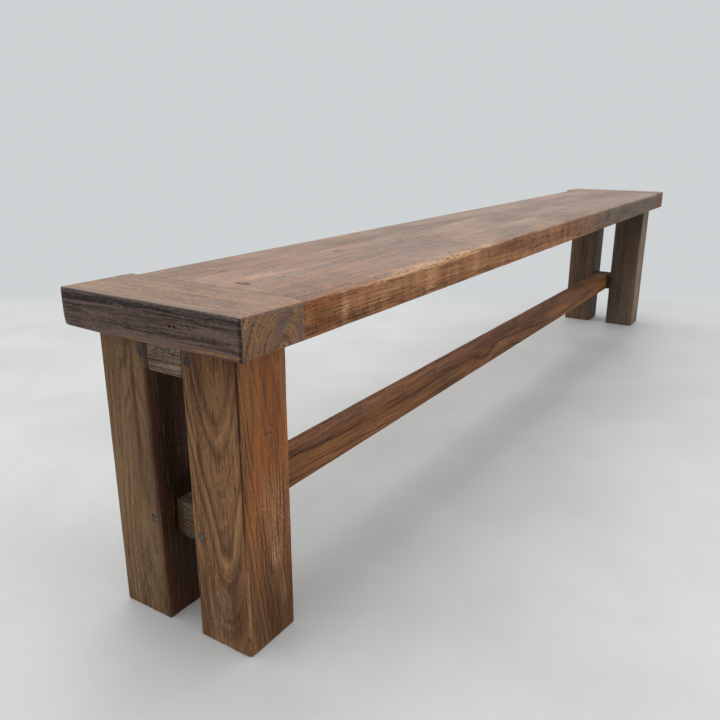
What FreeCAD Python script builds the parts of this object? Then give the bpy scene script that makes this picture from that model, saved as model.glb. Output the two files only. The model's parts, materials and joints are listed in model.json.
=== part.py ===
import FreeCAD, Part
import os
import Sketcher

# A long backless bench in heavy reclaimed timber.
#
# The seat is three boards, side by side, whose ends are tongued into a wide cross-grain cap at
# each end. Each cap stands on a trestle of two square posts, held apart by an upper and a lower
# cross rail that are tenoned into the posts and pegged from outside. One stretcher runs low
# down from trestle to trestle.
#
# Frame: millimetres, +X along the bench (the near end is at -X), +Y across it (the front is at
# -Y), +Z up. The origin is on the floor under the middle of the seat.

PARTS_FOLDER = "parts"

# Driving dimensions: name, size, and what the size is.
DIMENSIONS = [
    ("BenchLength", 2110, "over both end caps"),
    ("SeatHeight", 450, "floor to sitting face"),
    ("SeatThickness", 50, "boards and caps"),
    ("CapWidth", 108, "end cap, along the bench"),
    ("CapCorner", 7, "radius of the cap's two outer upright corners"),
    ("SeatArris", 3, "radius along the worn outer edges of the seat"),
    ("BoardSetback", 13, "back edge of the boards, behind the back edge of the caps"),
    ("FrontBoardWidth", 91.5, "front board"),
    ("MiddleBoardWidth", 104, "middle board"),
    ("BackBoardWidth", 86.5, "back board"),
    ("TongueLength", 18, "board tongue, into the cap"),
    ("TongueThickness", 15, "board tongue"),
    ("GrooveStop", 25, "from each side of the cap to the end of its groove"),
    ("DowelDiameter", 10, "dowels across the seams between boards"),
    ("DowelLength", 60, "dowels across the seams between boards"),
    ("DowelCount", 8, "dowels in one seam"),
    ("DowelEnd", 125, "from the end of a board to the first dowel"),
    ("PinDiameter", 8, "hidden pins that lock tongues and stretcher"),
    ("PinStop", 7, "wood left above the end of a pin"),
    ("PostSetback", 25, "outer faces of the posts, behind the end of the bench"),
    ("PostDepth", 87, "post, along the bench"),
    ("PostWidth", 86, "post, across the bench"),
    ("PostGap", 58, "between the two posts of a trestle"),
    ("PostArris", 2, "chamfer on the upright edges of the posts"),
    ("HeadTenonDepth", 36, "stub tenon on the post head, along the bench"),
    ("HeadTenonWidth", 45, "stub tenon on the post head, across the bench"),
    ("HeadTenonLength", 25, "stub tenon on the post head, up into the cap"),
    ("HeadTenonWall", 4, "wood left in the cap between its groove and the head tenons"),
    ("WaneBottom", 45, "height where the missing sapwood edge of one post begins"),
    ("WaneStartWidth", 0.5, "width of the missing edge where it begins"),
    ("WaneMiddle", 222, "height where that missing edge has nearly its full width"),
    ("WaneMiddleWidth", 30, "width of the missing edge at that height"),
    ("WaneTopWidth", 35, "width of the missing edge under the upper rail"),
    ("WaneDepth", 3.5, "depth of the missing edge on the outer face, at the top"),
    ("UpperRailHeight", 44, "upper cross rail"),
    ("UpperRailThickness", 60, "upper cross rail"),
    ("LowerRailBottom", 118.5, "floor to the underside of the lower cross rail"),
    ("LowerRailHeight", 52, "lower cross rail"),
    ("LowerRailThickness", 45, "lower cross rail"),
    ("LowerRailSetback", 26, "lower cross rail behind the posts' outer faces"),
    ("RailArris", 1.5, "chamfer on the long edges of the rails"),
    ("RailTenonLength", 35, "both rails, into the posts"),
    ("RailTenonHeight", 33, "both rails"),
    ("UpperTenonThickness", 24, "upper cross rail"),
    ("LowerTenonThickness", 20, "lower cross rail"),
    ("PegDiameter", 11, "pegs through the rail tenons"),
    ("PegStop", 12, "wood left in the post behind the end of a peg"),
    ("UpperPegInset", 10, "upper peg, from the inner side of the post"),
    ("LowerPegInset", 13, "lower peg, from the inner side of the post"),
    ("LowerPegRise", 5, "lower peg, above the middle of the rail"),
    ("StretcherHeight", 50, "stretcher"),
    ("StretcherFrontGap", 12, "from the stretcher to the front posts"),
    ("StretcherBackGap", 2, "from the stretcher to the back posts"),
    ("StretcherTenonLength", 30, "into the lower rails"),
    ("StretcherTenonHeight", 34, "into the lower rails"),
    ("StretcherShoulder", 10, "on each side of the stretcher's tenons"),
    ("ScrewDiameter", 5, "shank of a seat screw"),
    ("ScrewLength", 50, "under the head of a seat screw"),
    ("ScrewTip", 6, "pointed end of a seat screw"),
    ("ScrewHeadDiameter", 10, "seat screw"),
    ("ScrewHeadHeight", 3, "seat screw"),
    ("ScrewSlotWidth", 1.2, "seat screw"),
    ("ScrewSlotDepth", 1.4, "seat screw"),
    ("CounterboreClearance", 1.5, "round the screw heads in the underside of the upper rail"),
    ("CounterboreDepth", 20, "in the underside of the upper rail"),
    ("NailHoleDiameter", 3.5, "old nail holes in the near cap's end face"),
    ("NailHoleDepth", 14, "old nail holes"),
    ("NailHoleRise", 26, "above the underside of the cap"),
    ("NailHoleFirst", 42.5, "first hole, in front of the middle"),
    ("NailHoleSpacing", 7.5, "from the first hole to the second"),
    ("JointClearance", 0.2, "round every tongue and tenon"),
    ("JointEndGap", 1, "past the end of every tongue, tenon, pin and peg"),
    ("PegClearance", 0.1, "round every peg, pin, dowel and screw"),
]

# Names of the sheet's sizes are read here as Sizes.Name. What follows is worked out from them.
BENCH_WIDTH = ("(Sizes.FrontBoardWidth + Sizes.MiddleBoardWidth + Sizes.BackBoardWidth"
               " + Sizes.BoardSetback)")
SEAT_UNDERSIDE = "(Sizes.SeatHeight - Sizes.SeatThickness)"
PANEL_LENGTH = "(Sizes.BenchLength - 2 * Sizes.CapWidth)"
CAP_X = "((Sizes.BenchLength - Sizes.CapWidth) / 2)"
FRONT_Y = f"(-{BENCH_WIDTH} / 2)"
FRONT_SEAM_Y = f"({FRONT_Y} + Sizes.FrontBoardWidth)"
BACK_SEAM_Y = f"({FRONT_SEAM_Y} + Sizes.MiddleBoardWidth)"
BACK_EDGE_Y = f"({BACK_SEAM_Y} + Sizes.BackBoardWidth)"
GROOVE_FRONT_Y = f"({FRONT_Y} + Sizes.GrooveStop)"
GROOVE_BACK_Y = f"({BENCH_WIDTH} / 2 - Sizes.GrooveStop)"
DOWEL_ROW = f"({PANEL_LENGTH} - 2 * Sizes.DowelEnd)"

# The posts stand a little further in than the inner edges of the caps.
POST_FACE_X = "(Sizes.BenchLength / 2 - Sizes.PostSetback)"
POST_X = f"({POST_FACE_X} - Sizes.PostDepth / 2)"
POST_Y = "((Sizes.PostGap + Sizes.PostWidth) / 2)"
HEAD_TENON_X = ("(Sizes.BenchLength / 2 - Sizes.CapWidth + Sizes.TongueLength + Sizes.JointEndGap"
                " + Sizes.HeadTenonWall + Sizes.HeadTenonDepth / 2)")
UPPER_RAIL_BOTTOM = f"({SEAT_UNDERSIDE} - Sizes.UpperRailHeight)"
UPPER_RAIL_X = f"({POST_FACE_X} - Sizes.UpperRailThickness / 2)"
LOWER_RAIL_X = f"({POST_FACE_X} - Sizes.LowerRailSetback - Sizes.LowerRailThickness / 2)"
UPPER_PEG_Z = f"({UPPER_RAIL_BOTTOM} + Sizes.UpperRailHeight / 2)"
LOWER_RAIL_Z = "(Sizes.LowerRailBottom + Sizes.LowerRailHeight / 2)"
LOWER_PEG_Z = f"({LOWER_RAIL_Z} + Sizes.LowerPegRise)"
PEG_LENGTH = "(Sizes.PostDepth - Sizes.PegStop)"
CAP_PIN_LENGTH = "(Sizes.SeatThickness - Sizes.PinStop)"
STRETCHER_PIN_LENGTH = "(Sizes.LowerRailHeight - Sizes.PinStop)"
STRETCHER_LENGTH = f"(2 * {LOWER_RAIL_X} - Sizes.LowerRailThickness)"
STRETCHER_WIDTH = "(Sizes.PostGap - Sizes.StretcherFrontGap - Sizes.StretcherBackGap)"
STRETCHER_Y = "((Sizes.StretcherFrontGap - Sizes.StretcherBackGap) / 2)"
STRETCHER_TENON_WIDTH = f"({STRETCHER_WIDTH} - 2 * Sizes.StretcherShoulder)"
SCREW_Y = "(Sizes.PostGap / 4)"
PEG_HOLE = "(Sizes.PegDiameter + 2 * Sizes.PegClearance)"
PIN_HOLE = "(Sizes.PinDiameter + 2 * Sizes.PegClearance)"
DOWEL_HOLE = "(Sizes.DowelDiameter + 2 * Sizes.PegClearance)"
SCREW_HOLE = "(Sizes.ScrewDiameter + 2 * Sizes.PegClearance)"
COUNTERBORE = "(Sizes.ScrewHeadDiameter + 2 * Sizes.CounterboreClearance)"

# The seat boards: where each begins and ends across the bench, and where its tongue does.
BOARDS = {
    "front": (FRONT_Y, FRONT_SEAM_Y, GROOVE_FRONT_Y, FRONT_SEAM_Y),
    "middle": (FRONT_SEAM_Y, BACK_SEAM_Y, FRONT_SEAM_Y, BACK_SEAM_Y),
    "back": (BACK_SEAM_Y, BACK_EDGE_Y, BACK_SEAM_Y, GROOVE_BACK_Y),
}
ENDS = {"near": -1, "far": 1}
SIDES = {"front": -1, "back": 1}


def middle(low, high):
    """Expression for the point halfway between two expressions."""
    return f"(({low} + {high}) / 2)"


def with_clearance(size):
    """Expression for an opening that clears a tongue or tenon of this size on both sides."""
    return f"({size} + 2 * Sizes.JointClearance)"


def make_sheet(doc):
    """Write the driving dimensions into the spreadsheet, one row each."""
    sheet = doc.addObject("Spreadsheet::Sheet", "Sizes")
    for row, (alias, value, note) in enumerate(DIMENSIONS, start=1):
        sheet.set(f"A{row}", alias)
        sheet.set(f"B{row}", str(value))
        sheet.setAlias(f"B{row}", alias)
        sheet.set(f"C{row}", note)
    doc.recompute()


class Piece:
    """One piece of the bench: a body with its own label, its place and its features.

    Places inside a piece are expressions in the piece's own axes, which run along the bench's.
    """

    # For each origin plane, the piece's axes that lie along the sketch's own axes: across,
    # up and out of the plane, where -y means that the sketch faces the piece's front.
    PLANES = {"XY": ("x", "y", "z"), "XZ": ("x", "z", "-y"), "YZ": ("y", "z", "x")}

    def __init__(self, doc, label, x="0", y="0", z="0"):
        self.doc = doc
        self.body = doc.addObject("PartDesign::Body", label)
        self.body.Label = label
        self.body.setExpression(".Placement.Base.x", x)
        self.body.setExpression(".Placement.Base.y", y)
        self.body.setExpression(".Placement.Base.z", z)

    def origin(self, role):
        """The origin plane or axis of the body that has this role."""
        return next(item for item in self.body.Origin.OriginFeatures if item.Role == role)

    def sketch(self, name, plane, x="0", y="0", z="0"):
        """An empty sketch parallel to an origin plane, with its own origin at (x, y, z)."""
        sketch = self.body.newObject("Sketcher::SketchObject", name)
        sketch.AttachmentSupport = [(self.origin(f"{plane}_Plane"), "")]
        sketch.MapMode = "FlatFace"
        place = {"x": x, "y": y, "z": z, "-y": f"-({y})"}
        for offset, axis in zip("xyz", self.PLANES[plane]):
            sketch.setExpression(f"AttachmentOffset.Base.{offset}", place[axis])
        return sketch

    def dimension(self, sketch, kind, references, expression):
        """Add a driving constraint to a sketch and bind it to an expression."""
        start = 1.0 if kind == "Diameter" else 0.0
        number = sketch.addConstraint(Sketcher.Constraint(kind, *references, start))
        sketch.setExpression(f"Constraints[{number}]", expression)

    def rectangle(self, name, plane, across, up, **place):
        """A rectangle of the given sizes, centred on the sketch's origin."""
        sketch = self.sketch(name, plane, **place)
        corners = [FreeCAD.Vector(x, y) for x, y in ((-1, -1), (1, -1), (1, 1), (-1, 1))]
        for first, second in zip(corners, corners[1:] + corners[:1]):
            sketch.addGeometry(Part.LineSegment(first, second), False)
        for side in range(4):
            sketch.addConstraint(Sketcher.Constraint("Coincident", side, 2, (side + 1) % 4, 1))
        for side, kind in enumerate(("Horizontal", "Vertical", "Horizontal", "Vertical")):
            sketch.addConstraint(Sketcher.Constraint(kind, side))
        sketch.addConstraint(Sketcher.Constraint("Symmetric", 0, 1, 1, 2, -1, 1))
        self.dimension(sketch, "DistanceX", (0, 1, 0, 2), across)
        self.dimension(sketch, "DistanceY", (1, 1, 1, 2), up)
        return sketch

    def polygon(self, name, plane, corners, **place):
        """A closed outline through corners, each a pair of expressions across and up."""
        sketch = self.sketch(name, plane, **place)
        count = len(corners)
        # The points start on a curve, so that no two sides start out alike.
        ring = [FreeCAD.Vector(number, number * number) for number in range(count)]
        for number in range(count):
            line = Part.LineSegment(ring[number], ring[(number + 1) % count])
            sketch.addGeometry(line, False)
        for number in range(count):
            following = (number + 1) % count
            sketch.addConstraint(Sketcher.Constraint("Coincident", number, 2, following, 1))
        for number, (across, up) in enumerate(corners):
            self.dimension(sketch, "DistanceX", (-1, 1, number, 1), across)
            self.dimension(sketch, "DistanceY", (-1, 1, number, 1), up)
        return sketch

    def circles(self, name, plane, diameter, centres=(("0", "0"),), **place):
        """Equal circles, each centre a pair of expressions across and up."""
        sketch = self.sketch(name, plane, **place)
        normal = FreeCAD.Vector(0, 0, 1)
        for number, (across, up) in enumerate(centres):
            # Any start will do, because the three constraints set the size and the place.
            sketch.addGeometry(Part.Circle(FreeCAD.Vector(number, 0), normal, 1), False)
            self.dimension(sketch, "Diameter", (number,), diameter)
            self.dimension(sketch, "DistanceX", (-1, 1, number, 3), across)
            self.dimension(sketch, "DistanceY", (-1, 1, number, 3), up)
        return sketch

    def extrude(self, kind, sketch, length, towards):
        """Pad or pocket a sketch towards the plus (1) or minus (-1) side of its axis, or both (0)."""
        feature = self.body.newObject(f"PartDesign::{kind}", sketch.Name.replace("Outline", kind))
        feature.Profile = sketch
        feature.setExpression("Length", length)
        if towards == 0:
            feature.SideType = "Symmetric"
        else:
            faces_minus = sketch.AttachmentSupport[0][0].Role == "XZ_Plane"
            along_normal = (towards == -1) if faces_minus else (towards == 1)
            feature.Reversed = along_normal if kind == "Pocket" else not along_normal
        sketch.Visibility = False
        self.body.Tip = feature
        self.doc.recompute()
        return feature

    def pad(self, sketch, length, towards):
        """Add wood or metal from a sketch."""
        return self.extrude("Pad", sketch, length, towards)

    def pocket(self, sketch, depth, towards):
        """Cut a sketch away, and make sure that it met the solid."""
        before = self.body.Shape.Volume
        feature = self.extrude("Pocket", sketch, depth, towards)
        if not feature.Shape.Volume < before:
            raise RuntimeError(f"{feature.Name} in {self.body.Label} cuts nothing")
        return feature

    def repeat_along(self, feature, count, length):
        """Repeat a feature along the bench, evenly, from the first to the last over a length."""
        pattern = self.body.newObject("PartDesign::LinearPattern", f"{feature.Name}Row")
        pattern.Originals = [feature]
        pattern.Direction = (self.origin("X_Axis"), [""])
        pattern.setExpression("Occurrences", count)
        pattern.setExpression("Length", length)
        self.body.Tip = pattern
        self.doc.recompute()

    def mirror_across(self, features):
        """Repeat features on the other side of the plane along the middle of the bench."""
        mirrored = self.body.newObject("PartDesign::Mirrored", f"{features[0].Name}Pair")
        mirrored.Originals = features
        mirrored.MirrorPlane = (self.origin("XZ_Plane"), [""])
        self.body.Tip = mirrored
        self.doc.recompute()

    def soften(self, kind, size, wanted):
        """Chamfer or fillet the straight edges for which wanted(middle, direction) holds."""
        base = self.body.Tip
        names = []
        for number, edge in enumerate(base.Shape.Edges, start=1):
            direction = (edge.Vertexes[-1].Point - edge.Vertexes[0].Point).normalize()
            if wanted(edge.CenterOfMass, direction):
                names.append(f"Edge{number}")
        feature = self.body.newObject(f"PartDesign::{kind}", f"{kind}{len(self.body.Group)}")
        feature.Base = (base, names)
        feature.setExpression("Size" if kind == "Chamfer" else "Radius", size)
        self.body.Tip = feature
        self.doc.recompute()


def is_along(direction, axis):
    """Whether a unit direction runs along one of the axes x, y or z, either way."""
    return round(abs(getattr(direction, axis)), 3) == 1


def make_board(doc, position):
    """A seat board: a plank with a tongue at each end, locked by one pin through each tongue."""
    low, high, tongue_low, tongue_high = BOARDS[position]
    centre = middle(low, high)
    tongue_y = f"({middle(tongue_low, tongue_high)} - {centre})"
    width = f"({high} - {low})"
    board = Piece(doc, f"seat_board_{position}", y=centre, z=SEAT_UNDERSIDE)
    mid_height = "Sizes.SeatThickness / 2"
    plank = board.rectangle("PlankOutline", "YZ", width, "Sizes.SeatThickness", z=mid_height)
    board.pad(plank, PANEL_LENGTH, 0)
    if position != "middle":
        side = SIDES[position]
        board.soften("Fillet", "Sizes.SeatArris", lambda point, direction:
                     is_along(direction, "x") and point.y * side > 0)
    tongue = board.rectangle("TongueOutline", "YZ", f"{tongue_high} - {tongue_low}",
                             "Sizes.TongueThickness", y=tongue_y, z=mid_height)
    board.pad(tongue, f"{PANEL_LENGTH} + 2 * Sizes.TongueLength", 0)
    pin_x = f"({PANEL_LENGTH} + Sizes.TongueLength) / 2"
    pins = board.circles("PinHoleOutline", "XY", PIN_HOLE, [(pin_x, "0"), (f"-{pin_x}", "0")],
                         y=tongue_y, z=mid_height)
    board.pocket(pins, "Sizes.SeatThickness", 0)
    for seam, side in SIDES.items():
        if position == seam:
            continue
        hole = board.circles(f"DowelHole{seam.title()}Outline", "XZ", DOWEL_HOLE,
                             x=f"-{DOWEL_ROW} / 2",
                             y=f"{side} * {width} / 2", z=mid_height)
        depth = "Sizes.DowelLength / 2 + Sizes.JointEndGap"
        first = board.pocket(hole, depth, -side)
        board.repeat_along(first, "Sizes.DowelCount", DOWEL_ROW)
    return board


def make_board_dowels(doc, seam):
    """The row of dowels across one seam, half in each board."""
    seam_y = {"front": FRONT_SEAM_Y, "back": BACK_SEAM_Y}[seam]
    row = Piece(doc, f"board_dowels_{seam}", y=seam_y,
                z=f"{SEAT_UNDERSIDE} + Sizes.SeatThickness / 2")
    outline = row.circles("DowelOutline", "XZ", "Sizes.DowelDiameter",
                          x=f"-{DOWEL_ROW} / 2")
    dowel = row.pad(outline, "Sizes.DowelLength", 0)
    row.repeat_along(dowel, "Sizes.DowelCount", DOWEL_ROW)
    return row


def make_cap(doc, end_name):
    """An end cap: grooved for the board tongues, and mortised for the post heads."""
    end = ENDS[end_name]
    cap = Piece(doc, f"end_cap_{end_name}", x=f"{end} * {CAP_X}", z=SEAT_UNDERSIDE)
    blank = cap.rectangle("BlankOutline", "XY", "Sizes.CapWidth", BENCH_WIDTH)
    cap.pad(blank, "Sizes.SeatThickness", 1)
    cap.soften("Fillet", "Sizes.CapCorner", lambda point, direction:
               is_along(direction, "z") and point.x * end > 0)
    cap.soften("Fillet", "Sizes.SeatArris", lambda point, direction:
               is_along(direction, "y") and point.x * end > 0)

    # The groove is stopped short of both sides, so that no tongue shows there.
    inner_x = f"{-end} * Sizes.CapWidth / 2"
    groove = cap.rectangle("GrooveOutline", "YZ",
                           with_clearance(f"{GROOVE_BACK_Y} - {GROOVE_FRONT_Y}"),
                           with_clearance("Sizes.TongueThickness"),
                           x=inner_x, y=middle(GROOVE_FRONT_Y, GROOVE_BACK_Y),
                           z="Sizes.SeatThickness / 2")
    cap.pocket(groove, "Sizes.TongueLength + Sizes.JointEndGap", end)
    for side_name, side in SIDES.items():
        mortise = cap.rectangle(f"Mortise{side_name.title()}Outline", "XY",
                                with_clearance("Sizes.HeadTenonDepth"),
                                with_clearance("Sizes.HeadTenonWidth"),
                                x=f"{end} * ({HEAD_TENON_X} - {CAP_X})", y=f"{side} * {POST_Y}")
        cap.pocket(mortise, "Sizes.HeadTenonLength + Sizes.JointEndGap", 1)

    pin_centres = [("0", middle(tongue_low, tongue_high))
                   for _, _, tongue_low, tongue_high in BOARDS.values()]
    pins = cap.circles("PinHoleOutline", "XY", PIN_HOLE, pin_centres,
                       x=f"{-end} * (Sizes.CapWidth - Sizes.TongueLength) / 2")
    cap.pocket(pins, f"{CAP_PIN_LENGTH} + Sizes.JointEndGap", 1)
    screw_centres = [("0", f"{side} * {SCREW_Y}") for side in SIDES.values()]
    screws = cap.circles("ScrewHoleOutline", "XY", SCREW_HOLE, screw_centres,
                         x=f"{end} * ({UPPER_RAIL_X} - {CAP_X})")
    cap.pocket(screws, "Sizes.ScrewLength + Sizes.CounterboreDepth - Sizes.UpperRailHeight"
                       " + Sizes.JointEndGap", 1)
    if end_name == "near":
        nail_centres = [("-Sizes.NailHoleFirst", "0"),
                        ("-Sizes.NailHoleFirst - Sizes.NailHoleSpacing", "0")]
        nails = cap.circles("NailHoleOutline", "YZ", "Sizes.NailHoleDiameter", nail_centres,
                            x=f"{end} * Sizes.CapWidth / 2", z="Sizes.NailHoleRise")
        cap.pocket(nails, "Sizes.NailHoleDepth", -end)
    return cap


def make_cap_pins(doc, end_name):
    """Three pins driven up from below, one through each board's tongue."""
    end = ENDS[end_name]
    pins = Piece(doc, f"cap_pins_{end_name}",
                 x=f"{end} * ({CAP_X} - (Sizes.CapWidth - Sizes.TongueLength) / 2)",
                 z=SEAT_UNDERSIDE)
    centres = [("0", middle(tongue_low, tongue_high))
               for _, _, tongue_low, tongue_high in BOARDS.values()]
    outline = pins.circles("PinOutline", "XY", "Sizes.PinDiameter", centres)
    pins.pad(outline, CAP_PIN_LENGTH, 1)
    return pins


def cut_wane(post, end, side):
    """Cut away the waney edge between a post's outer face and its inner side.

    The missing edge starts at nothing low on the post and widens up to the upper rail, as a
    loft through three triangles that share the post's edge.
    """
    corner_x = f"{end} * Sizes.PostDepth / 2"
    corner_y = f"{-side} * Sizes.PostWidth / 2"
    levels = {
        "Low": ("Sizes.WaneBottom", "Sizes.WaneStartWidth"),
        "Middle": ("Sizes.WaneMiddle", "Sizes.WaneMiddleWidth"),
        "High": (UPPER_RAIL_BOTTOM, "Sizes.WaneTopWidth"),
    }
    # The third corner is a millimetre outside both faces, so that the cut breaks through them.
    outside = (f"{end}", f"{-side}")
    sections = []
    for level, (height, width) in levels.items():
        depth = f"Sizes.WaneDepth * {width} / Sizes.WaneTopWidth"
        corners = [(f"{-end} * {width}", "0"), ("0", f"{side} * {depth}"), outside]
        sections.append(post.polygon(f"Wane{level}Outline", "XY", corners,
                                     x=corner_x, y=corner_y, z=height))
    loft = post.body.newObject("PartDesign::SubtractiveLoft", "Wane")
    loft.Profile = sections[0]
    loft.Sections = sections[1:]
    loft.Ruled = True
    post.body.Tip = loft
    post.doc.recompute()


def make_post(doc, end_name, side_name):
    """A leg post: a stub tenon on its head, a mortise for each rail, and a peg hole at each."""
    end = ENDS[end_name]
    side = SIDES[side_name]
    post = Piece(doc, f"post_{end_name}_{side_name}",
                 x=f"{end} * {POST_X}", y=f"{side} * {POST_Y}")
    blank = post.rectangle("BlankOutline", "XY", "Sizes.PostDepth", "Sizes.PostWidth")
    post.pad(blank, SEAT_UNDERSIDE, 1)
    post.soften("Chamfer", "Sizes.PostArris",
                lambda point, direction: is_along(direction, "z"))
    head = post.rectangle("HeadOutline", "XY", "Sizes.HeadTenonDepth", "Sizes.HeadTenonWidth",
                          x=f"{end} * ({HEAD_TENON_X} - {POST_X})", z=SEAT_UNDERSIDE)
    post.pad(head, "Sizes.HeadTenonLength", 1)

    # Each rail: its middle along the bench, its middle height and its tenon's thickness.
    rails = {
        "Upper": (UPPER_RAIL_X, UPPER_PEG_Z, "Sizes.UpperTenonThickness"),
        "Lower": (LOWER_RAIL_X, LOWER_RAIL_Z, "Sizes.LowerTenonThickness"),
    }
    inner_y = f"{-side} * Sizes.PostWidth / 2"
    for rail, (rail_x, rail_z, thickness) in rails.items():
        mortise = post.rectangle(f"{rail}MortiseOutline", "XZ", with_clearance(thickness),
                                 with_clearance("Sizes.RailTenonHeight"),
                                 x=f"{end} * ({rail_x} - {POST_X})", y=inner_y, z=rail_z)
        post.pocket(mortise, "Sizes.RailTenonLength + Sizes.JointEndGap", side)
    for rail, height in (("Upper", UPPER_PEG_Z), ("Lower", LOWER_PEG_Z)):
        hole = post.circles(f"{rail}PegHoleOutline", "YZ", PEG_HOLE,
                            x=f"{end} * Sizes.PostDepth / 2",
                            y=f"{-side} * (Sizes.PostWidth / 2 - Sizes.{rail}PegInset)",
                            z=height)
        post.pocket(hole, f"{PEG_LENGTH} + Sizes.JointEndGap", -end)
    if (end_name, side_name) == ("near", "back"):
        cut_wane(post, end, side)
    return post


def make_rail(doc, rail, end_name):
    """A cross rail between two posts, with a pegged tenon at each end."""
    end = ENDS[end_name]
    rail_x = {"Upper": UPPER_RAIL_X, "Lower": LOWER_RAIL_X}[rail]
    bottom = {"Upper": UPPER_RAIL_BOTTOM, "Lower": "Sizes.LowerRailBottom"}[rail]
    height = f"Sizes.{rail}RailHeight"
    thickness = f"Sizes.{rail}RailThickness"
    piece = Piece(doc, f"{rail.lower()}_rail_{end_name}", x=f"{end} * {rail_x}", z=bottom)
    bar = piece.rectangle("BarOutline", "XZ", thickness, height, z=f"{height} / 2")
    piece.pad(bar, "Sizes.PostGap", 0)
    piece.soften("Chamfer", "Sizes.RailArris",
                 lambda point, direction: is_along(direction, "y"))
    tenon = piece.rectangle("TenonOutline", "XZ", f"Sizes.{rail}TenonThickness",
                            "Sizes.RailTenonHeight", z=f"{height} / 2")
    piece.pad(tenon, "Sizes.PostGap + 2 * Sizes.RailTenonLength", 0)
    peg_z = {"Upper": UPPER_PEG_Z, "Lower": LOWER_PEG_Z}[rail]
    peg_y = f"(Sizes.PostGap / 2 + Sizes.{rail}PegInset)"
    holes = piece.circles("PegHoleOutline", "YZ", PEG_HOLE, [(peg_y, "0"), (f"-{peg_y}", "0")],
                          z=f"{peg_z} - {bottom}")
    piece.pocket(holes, thickness, 0)
    return piece


def make_upper_rail(doc, end_name):
    """An upper rail, bored from below for the two screws that hold the seat down."""
    piece = make_rail(doc, "Upper", end_name)
    centres = [("0", f"{side} * {SCREW_Y}") for side in SIDES.values()]
    bores = piece.circles("CounterboreOutline", "XY", COUNTERBORE, centres)
    piece.pocket(bores, "Sizes.CounterboreDepth", 1)
    shanks = piece.circles("ScrewHoleOutline", "XY", SCREW_HOLE, centres)
    piece.pocket(shanks, "Sizes.UpperRailHeight + Sizes.JointEndGap", 1)
    return piece


def make_lower_rail(doc, end_name):
    """A lower rail, mortised on its inner face for the stretcher and bored for its pin."""
    end = ENDS[end_name]
    piece = make_rail(doc, "Lower", end_name)
    mortise = piece.rectangle("StretcherMortiseOutline", "YZ",
                              with_clearance(STRETCHER_TENON_WIDTH),
                              with_clearance("Sizes.StretcherTenonHeight"),
                              x=f"{-end} * Sizes.LowerRailThickness / 2", y=STRETCHER_Y,
                              z="Sizes.LowerRailHeight / 2")
    piece.pocket(mortise, "Sizes.StretcherTenonLength + Sizes.JointEndGap", end)
    hole = piece.circles("PinHoleOutline", "XY", PIN_HOLE, y=STRETCHER_Y,
                         x=f"{-end} * (Sizes.LowerRailThickness - Sizes.StretcherTenonLength) / 2")
    piece.pocket(hole, f"{STRETCHER_PIN_LENGTH} + Sizes.JointEndGap", 1)
    return piece


def make_stretcher(doc):
    """The long low stretcher, with a pinned tenon at each end."""
    stretcher = Piece(doc, "stretcher", y=STRETCHER_Y, z=LOWER_RAIL_Z)
    bar = stretcher.rectangle("BarOutline", "YZ", STRETCHER_WIDTH, "Sizes.StretcherHeight")
    stretcher.pad(bar, STRETCHER_LENGTH, 0)
    stretcher.soften("Chamfer", "Sizes.RailArris",
                     lambda point, direction: is_along(direction, "x"))
    tenon = stretcher.rectangle("TenonOutline", "YZ", STRETCHER_TENON_WIDTH,
                                "Sizes.StretcherTenonHeight")
    stretcher.pad(tenon, f"{STRETCHER_LENGTH} + 2 * Sizes.StretcherTenonLength", 0)
    pin_x = f"({STRETCHER_LENGTH} + Sizes.StretcherTenonLength) / 2"
    pins = stretcher.circles("PinHoleOutline", "XY", PIN_HOLE,
                             [(pin_x, "0"), (f"-{pin_x}", "0")])
    stretcher.pocket(pins, "Sizes.StretcherHeight", 0)
    return stretcher


def make_stretcher_pin(doc, end_name):
    """The pin driven up through a lower rail into the stretcher's tenon."""
    end = ENDS[end_name]
    pin_x = f"({STRETCHER_LENGTH} + Sizes.StretcherTenonLength) / 2"
    pin = Piece(doc, f"stretcher_pin_{end_name}", x=f"{end} * {pin_x}", y=STRETCHER_Y,
                z="Sizes.LowerRailBottom")
    outline = pin.circles("PinOutline", "XY", "Sizes.PinDiameter")
    pin.pad(outline, STRETCHER_PIN_LENGTH, 1)
    return pin


def make_pegs(doc, rail, end_name):
    """The two pegs of one rail, driven in from the outer faces of the posts."""
    end = ENDS[end_name]
    height = {"Upper": UPPER_PEG_Z, "Lower": LOWER_PEG_Z}[rail]
    pegs = Piece(doc, f"{rail.lower()}_pegs_{end_name}", x=f"{end} * {POST_FACE_X}", z=height)
    peg_y = f"(Sizes.PostGap / 2 + Sizes.{rail}PegInset)"
    outline = pegs.circles("PegOutline", "YZ", "Sizes.PegDiameter",
                           [(peg_y, "0"), (f"-{peg_y}", "0")])
    pegs.pad(outline, PEG_LENGTH, -end)
    return pegs


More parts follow.
